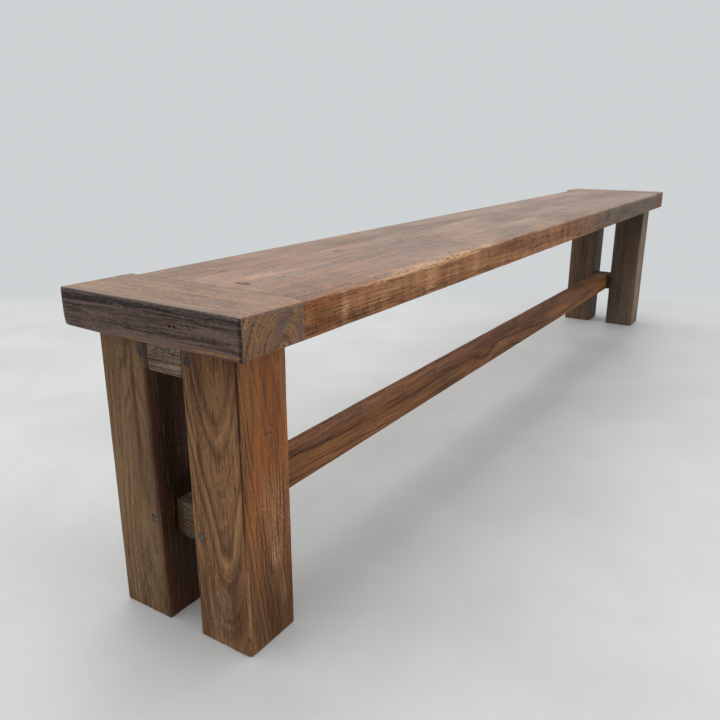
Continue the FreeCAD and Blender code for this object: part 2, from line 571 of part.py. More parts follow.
def make_seat_screws(doc, end_name):
    """The two screws that pull an end cap down on its upper rail.

    Each is a turned profile: a flat head, a plain shank and a pointed end, with a slot cut
    across the head, which seats on the floor of its counterbore.
    """
    end = ENDS[end_name]
    screws = Piece(doc, f"seat_screws_{end_name}", x=f"{end} * {UPPER_RAIL_X}",
                   z=f"{UPPER_RAIL_BOTTOM} + Sizes.CounterboreDepth")
    corners = [
        ("0", "-Sizes.ScrewHeadHeight"),
        ("Sizes.ScrewHeadDiameter / 2", "-Sizes.ScrewHeadHeight"),
        ("Sizes.ScrewHeadDiameter / 2", "0"),
        ("Sizes.ScrewDiameter / 2", "0"),
        ("Sizes.ScrewDiameter / 2", "Sizes.ScrewLength - Sizes.ScrewTip"),
        ("0", "Sizes.ScrewLength"),
    ]
    outline = screws.polygon("ScrewOutline", "XZ", corners, y=SCREW_Y)
    turned = screws.body.newObject("PartDesign::Revolution", "Screw")
    turned.Profile = outline
    turned.ReferenceAxis = (outline, ["V_Axis"])
    turned.Angle = 360
    screws.body.Tip = turned
    doc.recompute()
    slot = screws.rectangle("SlotOutline", "XY", "Sizes.ScrewSlotWidth",
                            "Sizes.ScrewHeadDiameter + Sizes.JointEndGap",
                            y=SCREW_Y, z="-Sizes.ScrewHeadHeight")
    cut = screws.pocket(slot, "Sizes.ScrewSlotDepth", 1)
    screws.mirror_across([turned, cut])
    return screws


def make_bench(doc):
    """Make every piece of the bench, top to bottom."""
    pieces = [make_board(doc, position) for position in BOARDS]
    pieces += [make_board_dowels(doc, seam) for seam in ("front", "back")]
    pieces.append(make_stretcher(doc))
    for end_name in ENDS:
        pieces.append(make_cap(doc, end_name))
        pieces.append(make_cap_pins(doc, end_name))
        pieces += [make_post(doc, end_name, side_name) for side_name in SIDES]
        pieces.append(make_upper_rail(doc, end_name))
        pieces.append(make_lower_rail(doc, end_name))
        pieces += [make_pegs(doc, rail, end_name) for rail in ("Upper", "Lower")]
        pieces.append(make_seat_screws(doc, end_name))
        pieces.append(make_stretcher_pin(doc, end_name))
    return pieces


def check(doc, pieces):
    """Stop if any object failed to compute or any piece isn't a sound solid."""
    for item in doc.Objects:
        if "Invalid" in item.State or "Error" in item.State:
            raise RuntimeError(f"{item.Name} failed: {item.State}")
    for piece in pieces:
        shape = piece.body.Shape
        if shape.isNull() or not shape.isValid() or not shape.Solids:
            raise RuntimeError(f"{piece.body.Label} is not a sound solid")


def main():
    """Build the bench and write one STEP file for each piece."""
    doc = FreeCAD.newDocument("Bench")
    make_sheet(doc)
    pieces = make_bench(doc)
    doc.recompute()
    check(doc, pieces)
    os.makedirs(PARTS_FOLDER, exist_ok=True)
    for piece in pieces:
        shape = piece.body.Shape
        shape.exportStep(f"{PARTS_FOLDER}/{piece.body.Label}.step")
        box = shape.BoundBox
        print(f"{piece.body.Label}: {len(shape.Solids)} solid(s), "
              f"{box.XLength:.1f} x {box.YLength:.1f} x {box.ZLength:.1f} mm")


main()
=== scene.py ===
"""A long backless bench in heavy reclaimed timber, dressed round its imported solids.

Lengths are in metres, in the frame's own axes: +X along the bench with the near trestle at
-X, +Y across it towards the back, +Z up, and the origin on the floor under the seat.
"""

import json
import logging
import math
from dataclasses import dataclass, field, replace
from enum import Enum
from typing import Any, Callable, Mapping, Sequence

import bpy
import numpy as np
from mathutils import Matrix, Vector

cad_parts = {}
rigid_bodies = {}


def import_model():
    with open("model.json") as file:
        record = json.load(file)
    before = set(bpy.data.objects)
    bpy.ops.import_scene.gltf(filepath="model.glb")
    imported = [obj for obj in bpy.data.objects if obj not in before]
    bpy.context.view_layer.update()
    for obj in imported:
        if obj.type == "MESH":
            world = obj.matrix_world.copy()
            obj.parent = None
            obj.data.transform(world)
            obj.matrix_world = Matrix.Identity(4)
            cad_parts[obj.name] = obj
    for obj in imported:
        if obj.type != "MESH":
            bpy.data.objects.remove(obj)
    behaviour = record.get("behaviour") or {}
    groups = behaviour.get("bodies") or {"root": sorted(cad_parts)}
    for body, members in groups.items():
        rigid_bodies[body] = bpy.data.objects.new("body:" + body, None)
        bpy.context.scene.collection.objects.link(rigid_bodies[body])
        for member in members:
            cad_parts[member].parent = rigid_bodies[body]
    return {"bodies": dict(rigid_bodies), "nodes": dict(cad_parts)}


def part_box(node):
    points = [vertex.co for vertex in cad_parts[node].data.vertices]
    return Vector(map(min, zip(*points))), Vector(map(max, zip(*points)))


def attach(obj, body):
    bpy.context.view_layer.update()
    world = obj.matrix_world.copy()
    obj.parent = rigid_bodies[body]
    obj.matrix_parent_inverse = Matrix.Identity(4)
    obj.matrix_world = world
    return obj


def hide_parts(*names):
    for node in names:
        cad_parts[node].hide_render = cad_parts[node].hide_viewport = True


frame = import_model()

Array = np.ndarray
Pair = tuple[float, float]
Triple = tuple[float, float, float]
log = logging.getLogger("bench")

# Distances from a timber's edge at which its grid has a line, so that a worn arris is round.
EDGE_LADDER = np.array([0.0, 0.0006, 0.0013, 0.0022, 0.0034, 0.005, 0.0075])
# Half the width of the steep wall round a tenon, mortise or bore.
WALL = 0.00002
# How far past the rim of a round bore the grid is still drawn round, in radii.
BORE_SPREAD = 1.6
# Sharper folds than this stay sharp in the shading.
SHARP_ANGLE = math.radians(42)
# Point attributes that carry each timber's stains and wear with its painted shade and highlights, and its
# polish by use.
PATINA_AND_PAINTED_LIGHT, POLISH = "patina", "polish"
# Room across a tongue or tenon in its hole, and past its end.
JOINT_GAP, END_GAP = 0.0004, 0.001
# Diameter and visible depth of the holes of the locking pins.
PIN_HOLE = (0.0084, 0.003)
# Each of the two parts of a direction that looks out at an arris.
SLOPE = 0.707
# How much of its radius an arris wanders by, and the cells to the metre of that wander.
ARRIS_WANDER, ARRIS_CELLS = 0.4, 28.0
# How much of itself a hollow's shell swells or shrinks by, and the cells of that.
RAGGED, RAGGED_CELLS = 0.16, 160.0
# Cells to the metre of the slow unevenness, along the grain and across it.
UNEVEN_CELLS = (4.0, 14.0)
# Colour of the wall behind the floor, and the direction in which it is.
WALL_COLOUR, WALL_SIDE = (0.62, 0.645, 0.655), (0.836, 0.549, 0)
# A length that is as good as nothing, so that nothing is divided by nought.
TINY = 1e-9


class Side(Enum):
    """The six faces of a timber: the axis that each looks along, and which way."""

    NEAR, FAR = (0, -1), (0, 1)
    FRONT, BACK = (1, -1), (1, 1)
    UNDER, TOP = (2, -1), (2, 1)

    def __init__(self, axis: int, way: int) -> None:
        """Keep the number of the axis, and 1 or -1 for the way along it."""
        self.axis = axis
        self.way = way


class Grain(Enum):
    """The direction that a timber's fibres run in."""

    LENGTHWISE = 0
    CROSSWISE = 1
    UPRIGHT = 2


class End(Enum):
    """The two ends of the bench."""

    NEAR = -1
    FAR = 1

    @property
    def label(self) -> str:
        """The word for this end in the frame's node names."""
        return self.name.lower()

    @property
    def outer(self) -> Side:
        """The faces that look out past this end."""
        return Side((0, self.value))

    @property
    def inner(self) -> Side:
        """The faces that look in under the seat."""
        return Side((0, -self.value))


ENDS, FLATS = (Side.NEAR, Side.FAR), (Side.TOP, Side.UNDER)


def others(axis: int) -> tuple[int, int]:
    """The two axes that follow an axis in turn."""
    return (axis + 1) % 3, (axis + 2) % 3


def meeting(side: Side, neighbours: Sequence[Side], radius: float) -> dict[frozenset, float]:
    """One radius for the arrises where a face meets some of its neighbours."""
    return {frozenset((side, other)): radius for other in neighbours}


def corners(node: str) -> tuple[Array, Array]:
    """Lowest and highest corner of one of the frame's nodes, as arrays."""
    low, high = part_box(node)
    return np.array(low), np.array(high)


def centre_of(node: str) -> Array:
    """Middle of one of the frame's nodes."""
    low, high = corners(node)
    return (low + high) / 2


# ---------------------------------------------------------------- timber shapes


@dataclass(frozen=True)
class SolidNoise:
    """Smooth random values between -1 and 1 that fill space, the same on every run.

    Attributes:
        seed: Picks the pattern.
        size: Number of cells along each side of the repeating block.
    """

    seed: int
    size: int = 32

    def __call__(self, points: Array, scale: float | Triple, octaves: int = 1) -> Array:
        """Sample the noise: random corner values blended by the smoothstep of the place in a cell.

        Args:
            points: Places, one row each.
            scale: Cells to the metre, for all axes or for each.
            octaves: Layers, each twice as fine and half as strong as the last.

        Returns:
            One value for each place.
        """
        block = np.random.default_rng(self.seed).uniform(-1, 1, (self.size,) * 3)
        total = np.zeros(len(points))
        for octave in range(octaves):
            places = points * np.asarray(scale) * 2**octave + 0.37 * self.seed
            cell = np.floor(places).astype(int)
            blend = places - cell
            blend = blend * blend * (3 - 2 * blend)
            layer = np.zeros(len(points))
            for corner in np.ndindex(2, 2, 2):
                weight = np.where(corner, blend, 1 - blend).prod(axis=1)
                layer += weight * block[tuple(((cell + corner) % self.size).T)]
            total += layer / 2**octave
        return total / (2 - 2.0 ** (1 - octaves))


@dataclass(frozen=True)
class Step:
    """A flat-topped rise or flat-bottomed hollow: a tongue, tenon, mortise, groove or bore.

    Attributes:
        side: The face that it belongs to.
        centre: Its middle; the part along the face's own axis isn't used.
        size: Its full size; the part along the face's own axis isn't used.
        rise: How far it stands out of the face, or below nought how deep it is.
        bored: Whether it is as round as a drill leaves it, rather than square.
    """

    side: Side
    centre: Triple
    size: Triple
    rise: float
    bored: bool = False

    @classmethod
    def bore(cls, side: Side, centre: Triple, hole: Pair) -> "Step":
        """A round hole by its diameter and depth."""
        return cls(side, centre, (hole[0],) * 3, -hole[1], bored=True)

    def lines(self, axis: int) -> Array:
        """Grid lines along one axis that give the step its wall, and a bore its round rim.

        Args:
            axis: Number of the axis.

        Returns:
            Their places along it, in no order.
        """
        middle, half = self.centre[axis], self.size[axis] / 2
        offsets = [half - WALL, half + WALL]
        if self.bored:
            offsets += [half * part for part in (0.25, 0.5, 0.75, 1.3, BORE_SPREAD)]
        offsets = np.array(offsets)
        return np.concatenate([middle - offsets, [middle], middle + offsets])

    def shift(self, sharp: Array, level: float) -> Array:
        """How far each point of the sharp-edged timber moves for this step.

        A point's reach is its distance from the middle in half sizes, measured square. Points
        of a reach under 1 rise. For a bore the squares of equal reach are drawn into circles,
        and past the rim that fades out.

        Args:
            sharp: Points of the timber before wear.
            level: Place of the step's face along its own axis.

        Returns:
            The move of each point.
        """
        move = np.zeros_like(sharp)
        first, second = others(self.side.axis)
        on_face = np.isclose(sharp[:, self.side.axis], level, atol=1e-7)
        offset = (sharp - self.centre) / (np.asarray(self.size) / 2)
        reach = np.maximum(abs(offset[:, first]), abs(offset[:, second]))
        move[on_face & (reach < 1), self.side.axis] = self.side.way * self.rise
        if self.bored:
            fade = np.clip((BORE_SPREAD - reach) / (BORE_SPREAD - 1), 0, 1)
            span = np.maximum(np.hypot(offset[:, first], offset[:, second]), TINY)
            pull = np.where(on_face, (reach / span - 1) * fade, 0)
            for axis in (first, second):
                move[:, axis] = (sharp[:, axis] - self.centre[axis]) * pull
        return move


@dataclass(frozen=True)
class Spot:
    """A place in or on a timber, in the shape of an egg.

    Attributes:
        centre: Its middle.
        radii: Its half sizes.
    """

    centre: Triple
    radii: Triple

    def share(self, points: Array) -> Array:
        """Bell curve at each point: 1 in the middle, and 0.37 at the radii."""
        return np.exp(-(((points - np.asarray(self.centre)) / self.radii) ** 2).sum(axis=1))


class Scoop(Spot):
    """A hollow broken or worn out of a timber, whose middle is at or outside its skin."""

    def carve(self, points: Array, ragged: Array) -> Array:
        """Push the points inside the egg straight out from its middle to its shell.

        Args:
            points: Points of the timber.
            ragged: How far the shell is swollen or shrunk at each point, as a share of it.

        Returns:
            The points after the push.
        """
        offset = (points - self.centre) / self.radii
        span = np.linalg.norm(offset, axis=1)
        push = np.maximum((1 + ragged) / np.maximum(span, 1e-6), 1)
        return np.asarray(self.centre) + offset * push[:, None] * self.radii


@dataclass(frozen=True)
class Wear(Spot):
    """A place where the arrises are rubbed rounder, by an extra radius."""

    extra: float


@dataclass(frozen=True)
class Patch(Spot):
    """A soft-edged patch of another tone on a timber.

    Attributes:
        dark: Strength of a near-black stain, or of painted shade where a place is in shade.
        pale: Strength of raw light wood, or of a painted highlight along an arris.
        grey: Strength of silver-grey weathering.
        red: Strength of a rust-red tint.
    """

    dark: float = 0.0
    pale: float = 0.0
    grey: float = 0.0
    red: float = 0.0

    @property
    def tones(self) -> Array:
        """The four strengths in the order of the attribute's channels."""
        return np.array([self.dark, self.pale, self.grey, self.red])


@dataclass(frozen=True)
class Face:
    """A face of a timber, on which patches lie.

    Attributes:
        axis: The axis that it looks along.
        level: Its place along that axis.
        deep: How deep its patches go.
    """

    axis: int
    level: float
    deep: float

    def __call__(self, place: Pair, size: Pair, **tones: float) -> Patch:
        """A patch, by its middle and half sizes along the face's own two axes."""
        centre, radii = np.insert([place, size], self.axis, (self.level, self.deep), axis=1).tolist()
        return Patch(tuple(centre), tuple(radii), **tones)


def nicks(start: Triple, end: Triple, outward: Triple, count: int, long: float, deep: float,
          seed: int) -> tuple[Scoop, ...]:
    """Small hollows scattered along an arris.

    Each is an egg with its long side on the arris, set outside it by its short radius less its
    depth, so that only its belly cuts the wood.

    Args:
        start: One end of the arris.
        end: The other end.
        outward: Direction out of the wood at the arris, of length 1.
        count: Number of nicks.
        long: Greatest half length.
        deep: Greatest depth.
        seed: Picks their places and sizes.

    Returns:
        The hollows.
    """
    rng = np.random.default_rng(seed)
    first, last, out = (np.asarray(item, float) for item in (start, end, outward))
    run = (last - first) / np.linalg.norm(last - first)
    least, roundness = 0.25, 3
    scoops = []
    for place, size, depth in rng.uniform(0, 1, (count, 3)) ** (1, 2, 2):
        half = long * (least + (1 - least) * size)
        bite = deep * (least + (1 - least) * depth)
        short = roundness * bite
        centre = first + (last - first) * place + out * (short - bite)
        scoops.append(Scoop(tuple(centre), tuple(np.where(abs(run) > 0.5, half, short))))
    return tuple(scoops)


def quads(number: Array) -> list[Array]:
    """The four corners of every square in a grid of point numbers."""
    return [number[:-1, :-1], number[1:, :-1], number[1:, 1:], number[:-1, 1:]]


@dataclass
class Timber:
    """A squared timber, worn by use, as one closed skin.

    Attributes:
        name: Name of the piece.
        node: The frame's node that it stands for.
        slot: The record's material slot.
        low: Lowest corner of the squared stick, without tongues and tenons.
        high: Its highest corner.
        finish: What its surface is like.
        spacing: Distance between grid lines away from the edges.
        fine: A stretch along the grain, from and to, and the spacing of its closer lines.
        arris: Usual radius of its arrises.
        arrises: Radii of arrises that differ, by the pair of faces that meet there.
        steps: Tongues, tenons, mortises, grooves and bores.
        wear: Places where the arrises are rounder.
        scoops: Hollows broken out of it.
        patches: Stains and worn places, and a few places of painted shade and painted highlight.
        relief: Depth of the slow unevenness of its faces.
        pale_edge: How much lighter its arrises are, partly rubbed wear and partly a painted highlight.
        shape: A last change of form, from the worn points and the sharp ones.
        seed: Picks its random wear.
    """

    name: str
    node: str
    slot: str
    low: Array
    high: Array
    finish: "WoodFinish"
    spacing: float = 0.0045
    fine: Triple | None = None
    arris: float = 0.0015
    arrises: Mapping[frozenset, float] = field(default_factory=dict)
    steps: Sequence[Step] = ()
    wear: Sequence[Wear] = ()
    scoops: Sequence[Scoop] = ()
    patches: Sequence[Patch] = ()
    relief: float = 0.0003
    pale_edge: float = 0.25
    shape: Callable[[Array, Array], Array] | None = None
    seed: int = 1

    def lines(self, axis: int) -> Array:
        """Grid lines along one axis: close at both ends, even between, and at each step.

        Args:
            axis: Number of the axis.

        Returns:
            Their places along it, in order.
        """
        low, high = self.low[axis], self.high[axis]
        reach = EDGE_LADDER[-1]
        count = max(3, round((high - low - 2 * reach) / self.spacing) + 1)
        parts = [low + EDGE_LADDER, high - EDGE_LADDER, np.linspace(low + reach, high - reach, count)]
        parts += [step.lines(axis) for step in self.steps if step.side.axis != axis]
        if self.fine and axis == self.finish.grain.value:
            parts.append(np.arange(*self.fine))
        return np.unique(np.round(np.concatenate(parts), 6))

    def level(self, side: Side) -> float:
        """Place of a face along its own axis."""
        return (self.high if side.way > 0 else self.low)[side.axis]

    def blank(self) -> tuple[Array, Array]:
        """The sharp-edged skin: one grid for each face, welded where their rims agree.

        Returns:
            The points, and rows of four point numbers, counter-clockwise from outside.
        """
        rules = [self.lines(axis) for axis in range(3)]
        sheets, faces, total = [], [], 0
        for side in Side:
            first, second = others(side.axis)
            sheet = np.empty((len(rules[first]), len(rules[second]), 3))
            sheet[..., side.axis] = self.level(side)
            sheet[..., first] = rules[first][:, None]
            sheet[..., second] = rules[second][None, :]
            number = total + np.arange(sheet.shape[0] * sheet.shape[1]).reshape(sheet.shape[:2])
            faces.append(np.stack(quads(number)[::side.way], axis=-1).reshape(-1, 4))
            sheets.append(sheet.reshape(-1, 3))
            total += number.size
        points = np.concatenate(sheets)
        keys = np.round(points * 1e7).astype(np.int64)
        _, kept, place = np.unique(keys, axis=0, return_index=True, return_inverse=True)
        return points[kept], place.reshape(-1)[np.concatenate(faces)]

    def round_arrises(self, points: Array, noise: SolidNoise) -> Array:
        """Round the arrises, those along x, then y, then z.

        Seen along an arris, the square of side radius at the corner holds points at square
        rings round its inner corner. Each is drawn in to the circle of the same reach, so the
        outermost ring becomes the quarter circle of the rounded arris.

        Args:
            points: Points of the sharp-edged timber.
            noise: What makes the radii wander.

        Returns:
            The moved points.
        """
        middle, half = (self.low + self.high) / 2, (self.high - self.low) / 2
        most = 0.9 * half.min()
        wander = 1 + ARRIS_WANDER * noise(points, ARRIS_CELLS, 2)
        extra = sum((spot.extra * spot.share(points) for spot in self.wear), np.zeros(len(points)))
        moved = points - middle
        for axis in range(3):
            first, second = others(axis)
            radius = np.full(len(points), self.arris)
            for pair, size in self.arrises.items():
                ways = {side.axis: side.way for side in pair}
                if set(ways) == {first, second}:
                    here = (moved[:, first] * ways[first] > 0) & (moved[:, second] * ways[second] > 0)
                    radius[here] = size
            radius = np.minimum(radius * wander + extra, most)
            over_first = abs(moved[:, first]) - half[first] + radius
            over_second = abs(moved[:, second]) - half[second] + radius
            reach = np.maximum(over_first, over_second)
            span = np.maximum(np.hypot(over_first, over_second), TINY)
            pull = np.where((over_first > 0) & (over_second > 0), reach / span - 1, 0)
            moved[:, first] += np.sign(moved[:, first]) * over_first * pull
            moved[:, second] += np.sign(moved[:, second]) * over_second * pull
        return moved + middle

    def outward(self, points: Array) -> Array:
        """Direction out of the wood: away from the nearest point of a smaller box inside it.

        Args:
            points: Points of the timber.

        Returns:
            The direction at each point, of length 1.
        """
        inset = 0.006
        away = points - np.clip(points, self.low + inset, self.high - inset)
        return away / np.maximum(np.linalg.norm(away, axis=1), TINY)[:, None]

    def tones(self, sharp: Array, noise: SolidNoise) -> Array:
        """Strength of each patina, painted shade and painted highlight at each point.

        The patches fade as bell curves. The end grain is darker, and the arrises are lighter,
        partly by rubbed wear and partly as a painted highlight, fading over a couple of
        millimetres from the nearest one.

        Args:
            sharp: Points of the sharp-edged timber.
            noise: What breaks up the wear on the arrises.

        Returns:
            A row of dark, pale, grey and red for each point.
        """
        edge_wear_and_highlight_width, end_grain = 0.0016, 0.16
        tones = np.zeros((len(sharp), 4))
        for patch in self.patches:
            tones += patch.share(sharp)[:, None] * patch.tones
        depths = np.minimum(sharp - self.low, self.high - sharp)
        from_arris = np.sort(depths, axis=1)[:, 1]
        rubbed = np.clip(0.55 + 0.9 * noise(sharp, 17.0, 3), 0, 1)
        # Painted highlight and rubbed wear: the arrises are lightened near their edge, broken up by noise.
        tones[:, 1] += self.pale_edge * rubbed * np.exp(-from_arris / edge_wear_and_highlight_width)
        tones[depths[:, self.finish.grain.value] < 1e-6, 0] += end_grain
        return np.clip(tones, 0, 1)

    def polished(self, sharp: Array) -> Array:
        """How far each point is polished by sitters: full on top, gone a few millimetres down."""
        depth = 0.003
        return np.exp((sharp[:, 2] - self.high[2]) / depth)

    def build(self) -> None:
        """Make the worn timber, with its patina, painted shade and painted highlights on its points."""
        noise = SolidNoise(self.seed)
        sharp, faces = self.blank()
        points = self.round_arrises(sharp, noise)
        uneven = 0.5 + 0.5 * noise(points, self.finish.along_grain(*UNEVEN_CELLS), 3)
        points = points - self.outward(points) * (self.relief * uneven)[:, None]
        ragged = RAGGED * noise(sharp, RAGGED_CELLS, 2)
        for scoop in self.scoops:
            points = scoop.carve(points, ragged)
        if self.shape:
            points = self.shape(points, sharp)
        for step in self.steps:
            points = points + step.shift(sharp, self.level(step.side))
        piece = make_piece(self.name, points, faces, self.finish.material())
        paint = piece.data.attributes.new(PATINA_AND_PAINTED_LIGHT, "FLOAT_COLOR", "POINT")
        paint.data.foreach_set("color", self.tones(sharp, noise).astype(np.float32).ravel())
        if self.finish.polish:
            paint = piece.data.attributes.new(POLISH, "FLOAT", "POINT")
            paint.data.foreach_set("value", self.polished(sharp).astype(np.float32))
        stand_in(piece, self.slot, self.node)


def make_piece(name: str, points: Array, faces: Array, material: bpy.types.Material) -> bpy.types.Object:
    """Put points and four-sided faces into a new object.

    Args:
        name: Name of the object and its mesh.
        points: Places in metres, one row each.
        faces: Rows of four point numbers, counter-clockwise from outside.
        material: Its finish.

    Returns:
        The object, smooth but for its sharp folds.
    """
    mesh = bpy.data.meshes.new(name)
    mesh.vertices.add(len(points))
    mesh.vertices.foreach_set("co", points.astype(np.float32).ravel())
    mesh.loops.add(faces.size)
    mesh.loops.foreach_set("vertex_index", faces.astype(np.int32).ravel())
    mesh.polygons.add(len(faces))
    mesh.polygons.foreach_set("loop_start", np.arange(0, faces.size, 4, dtype=np.int32))
    mesh.update(calc_edges=True)
    mesh.shade_smooth()
    mesh.set_sharp_from_angle(angle=SHARP_ANGLE)
    mesh.materials.append(material)
    piece = bpy.data.objects.new(name, mesh)
    bpy.context.scene.collection.objects.link(piece)
    return piece


def stand_in(piece: bpy.types.Object, slot: str, node: str) -> None:
    """Let a piece ride on the bench in place of one of the frame's nodes.

    Args:
        piece: The piece.
        slot: The record's material slot that its finish comes from; not used.
        node: The node that it stands for.
    """
    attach(piece, "root")
    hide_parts(node)
    log.info("%s stands for %s, with %d faces", piece.name, node, len(piece.data.polygons))


# ---------------------------------------------------------------- shader arithmetic


class Signal:
    """The output of a node, on which Python's operators add further nodes."""

    def __init__(self, recipe: "Recipe", socket: bpy.types.NodeSocket) -> None:
        """Wrap an output socket of a recipe's node."""
        self.recipe = recipe
        self.socket = socket

    def math(self, operation: str, *values: "Signal | float") -> "Signal":
        """Add a Math node, with all its inputs in order."""
        return self.recipe.add("ShaderNodeMath", {"operation": operation}, dict(enumerate(values)))

    def __add__(self, other: "Signal | float") -> "Signal":
        """self + other."""
        return self.math("ADD", self, other)

    def __sub__(self, other: "Signal | float") -> "Signal":
        """self - other."""
        return self.math("SUBTRACT", self, other)

    def __rsub__(self, other: float) -> "Signal":
        """other - self."""
        return self.math("SUBTRACT", other, self)

    def __mul__(self, other: "Signal | float") -> "Signal":
        """self * other."""
        return self.math("MULTIPLY", self, other)

    def __truediv__(self, other: "Signal | float") -> "Signal":
        """self / other."""
        return self.math("DIVIDE", self, other)

    def __pow__(self, other: float) -> "Signal":
        """self ** other."""
        return self.math("POWER", self, other)

    __radd__, __rmul__ = __add__, __mul__

    def ramp(self, start: float = 0.0, end: float = 1.0) -> "Signal":
        """0 at start and 1 at end, with a smooth step between them."""
        limits = {"Value": self, "From Min": start, "From Max": end, "To Min": 0.0, "To Max": 1.0}
        return self.recipe.add("ShaderNodeMapRange", {"interpolation_type": "SMOOTHSTEP"}, limits)


class Recipe:
    """The node tree of one material or world."""

    def __init__(self, holder: bpy.types.Material | bpy.types.World) -> None:
        """Start on the empty tree of a material or world.

        Args:
            holder: The material or world.
        """
        self.holder = holder
        holder.use_nodes = True
        self.nodes, self.links = holder.node_tree.nodes, holder.node_tree.links
        self.nodes.clear()

    @classmethod
    def named(cls, name: str) -> "Recipe":
        """Start a new material with this name."""
        return cls(bpy.data.materials.new(name))

    def node(self, kind: str, settings: Mapping[str, Any] | None = None,
             inputs: Mapping[Any, Any] | None = None) -> bpy.types.Node:
        """Add a node.

        Args:
            kind: The node's type.
            settings: Its own settings, set first; "stops" are a ramp's places and colours.
            inputs: Numbers, colours or signals for its input sockets, by name or number.

        Returns:
            The node.
        """
        node = self.nodes.new(kind)
        for name, value in (settings or {}).items():
            if name != "stops":
                setattr(node, name, value)
                continue
            while len(node.color_ramp.elements) < len(value):
                node.color_ramp.elements.new(1.0)
            for element, (place, colour) in zip(node.color_ramp.elements, value):
                element.position, element.color = place, (*colour, 1.0)
        for key, value in (inputs or {}).items():
            if isinstance(value, Signal):
                self.links.new(value.socket, node.inputs[key])
            else:
                node.inputs[key].default_value = value
        return node

    def add(self, kind: str, settings: Mapping[str, Any] | None = None,
            inputs: Mapping[Any, Any] | None = None, output: int | str = 0) -> Signal:
        """Add a node in the same way, and take one of its outputs."""
        return Signal(self, self.node(kind, settings, inputs).outputs[output])

    def place(self) -> Signal:
        """Where the surface is, in metres in the frame."""
        return self.add("ShaderNodeTexCoord", output="Object")

    def mapped(self, vector: Signal, kind: str, location: Triple, scale: Triple,
               rotation: Triple = (0, 0, 0)) -> Signal:
        """Add a Mapping node: POINT scales, turns and moves; TEXTURE undoes a move, turn and scale."""
        return self.add("ShaderNodeMapping", {"vector_type": kind},
                        {"Vector": vector, "Location": location, "Rotation": rotation, "Scale": scale})

    def length(self, vector: Signal) -> Signal:
        """Length of a vector."""
        return self.add("ShaderNodeVectorMath", {"operation": "LENGTH"}, {0: vector}, "Value")

    def along(self, vector: Signal, heading: Triple) -> Signal:
        """How far a vector reaches along a heading."""
        return self.add("ShaderNodeVectorMath", {"operation": "DOT_PRODUCT"}, {0: vector, 1: heading},
                        "Value")

    def noise(self, vector: Signal, scale: Triple, seed: float, detail: float = 2.0,
              rough: float = 0.5) -> Signal:
        """Noise centred on nought, mostly within a quarter either way.

        Args:
            vector: Where to sample it, in metres.
            scale: Cells to the metre along each axis.
            seed: Picks the pattern.
            detail: Number of finer layers.
            rough: Strength of each finer layer.

        Returns:
            The noise.
        """
        shift = (seed * 7.31, seed * 3.17, seed * 5.77)
        return self.add("ShaderNodeTexNoise", {"noise_dimensions": "3D"},
                        {"Vector": self.mapped(vector, "POINT", shift, scale), "Scale": 1.0,
                         "Detail": detail, "Roughness": rough}) - 0.5

    def wave(self, along: Signal, seed: float, detail: float = 2.0) -> Signal:
        """Noise along one number, centred on nought."""
        return self.add("ShaderNodeTexNoise", {"noise_dimensions": "1D"},
                        {"W": along + seed * 11.7, "Scale": 1.0, "Detail": detail}) - 0.5

    def mix(self, share: Signal, first: Any, second: Any) -> Signal:
        """Blend two colours or signals of colour, with this share of the second."""
        first, second = (item if isinstance(item, Signal) else (*item, 1.0) for item in (first, second))
        return self.add("ShaderNodeMix", {"data_type": "RGBA"}, {0: share, 6: first, 7: second}, 2)

    def bump(self, height: Signal, depth: float, strength: float = 1.0) -> Signal:
        """The normal of a surface with this height, in depths."""
        return self.add("ShaderNodeBump", None, {"Strength": strength, "Distance": depth, "Height": height})

    def blend(self, share: Signal, first: Signal, second: Signal) -> Signal:
        """Blend two shaders, with this share of the second."""
        return self.add("ShaderNodeMixShader", None, {0: share, 1: first, 2: second})

    def surface(self, inputs: Mapping[str, Any]) -> bpy.types.Material:
        """Finish the material with a Principled surface of these inputs."""
        return self.finish(self.add("ShaderNodeBsdfPrincipled", None, inputs))

    def finish(self, shader: Signal, kind: str = "Material") -> bpy.types.Material | bpy.types.World:
        """Finish the material or world with a shader."""
        self.node(f"ShaderNodeOutput{kind}", None, {"Surface": shader})
        return self.holder


def tinted(colour: Triple, *factors: float) -> Triple:
    """A colour times a factor, or times one for each channel."""
    return tuple(np.multiply(colour, factors).tolist())


# ---------------------------------------------------------------- finishes


@dataclass(frozen=True)
class Knot(Spot):
    """A knot, or a swirl round one that lies just under the surface; its radii are its core's.

    Attributes:
        push: How far it pushes the growth rings aside.
        core: How dark its core is.
    """

    push: float = 0.01
    core: float = 0.8


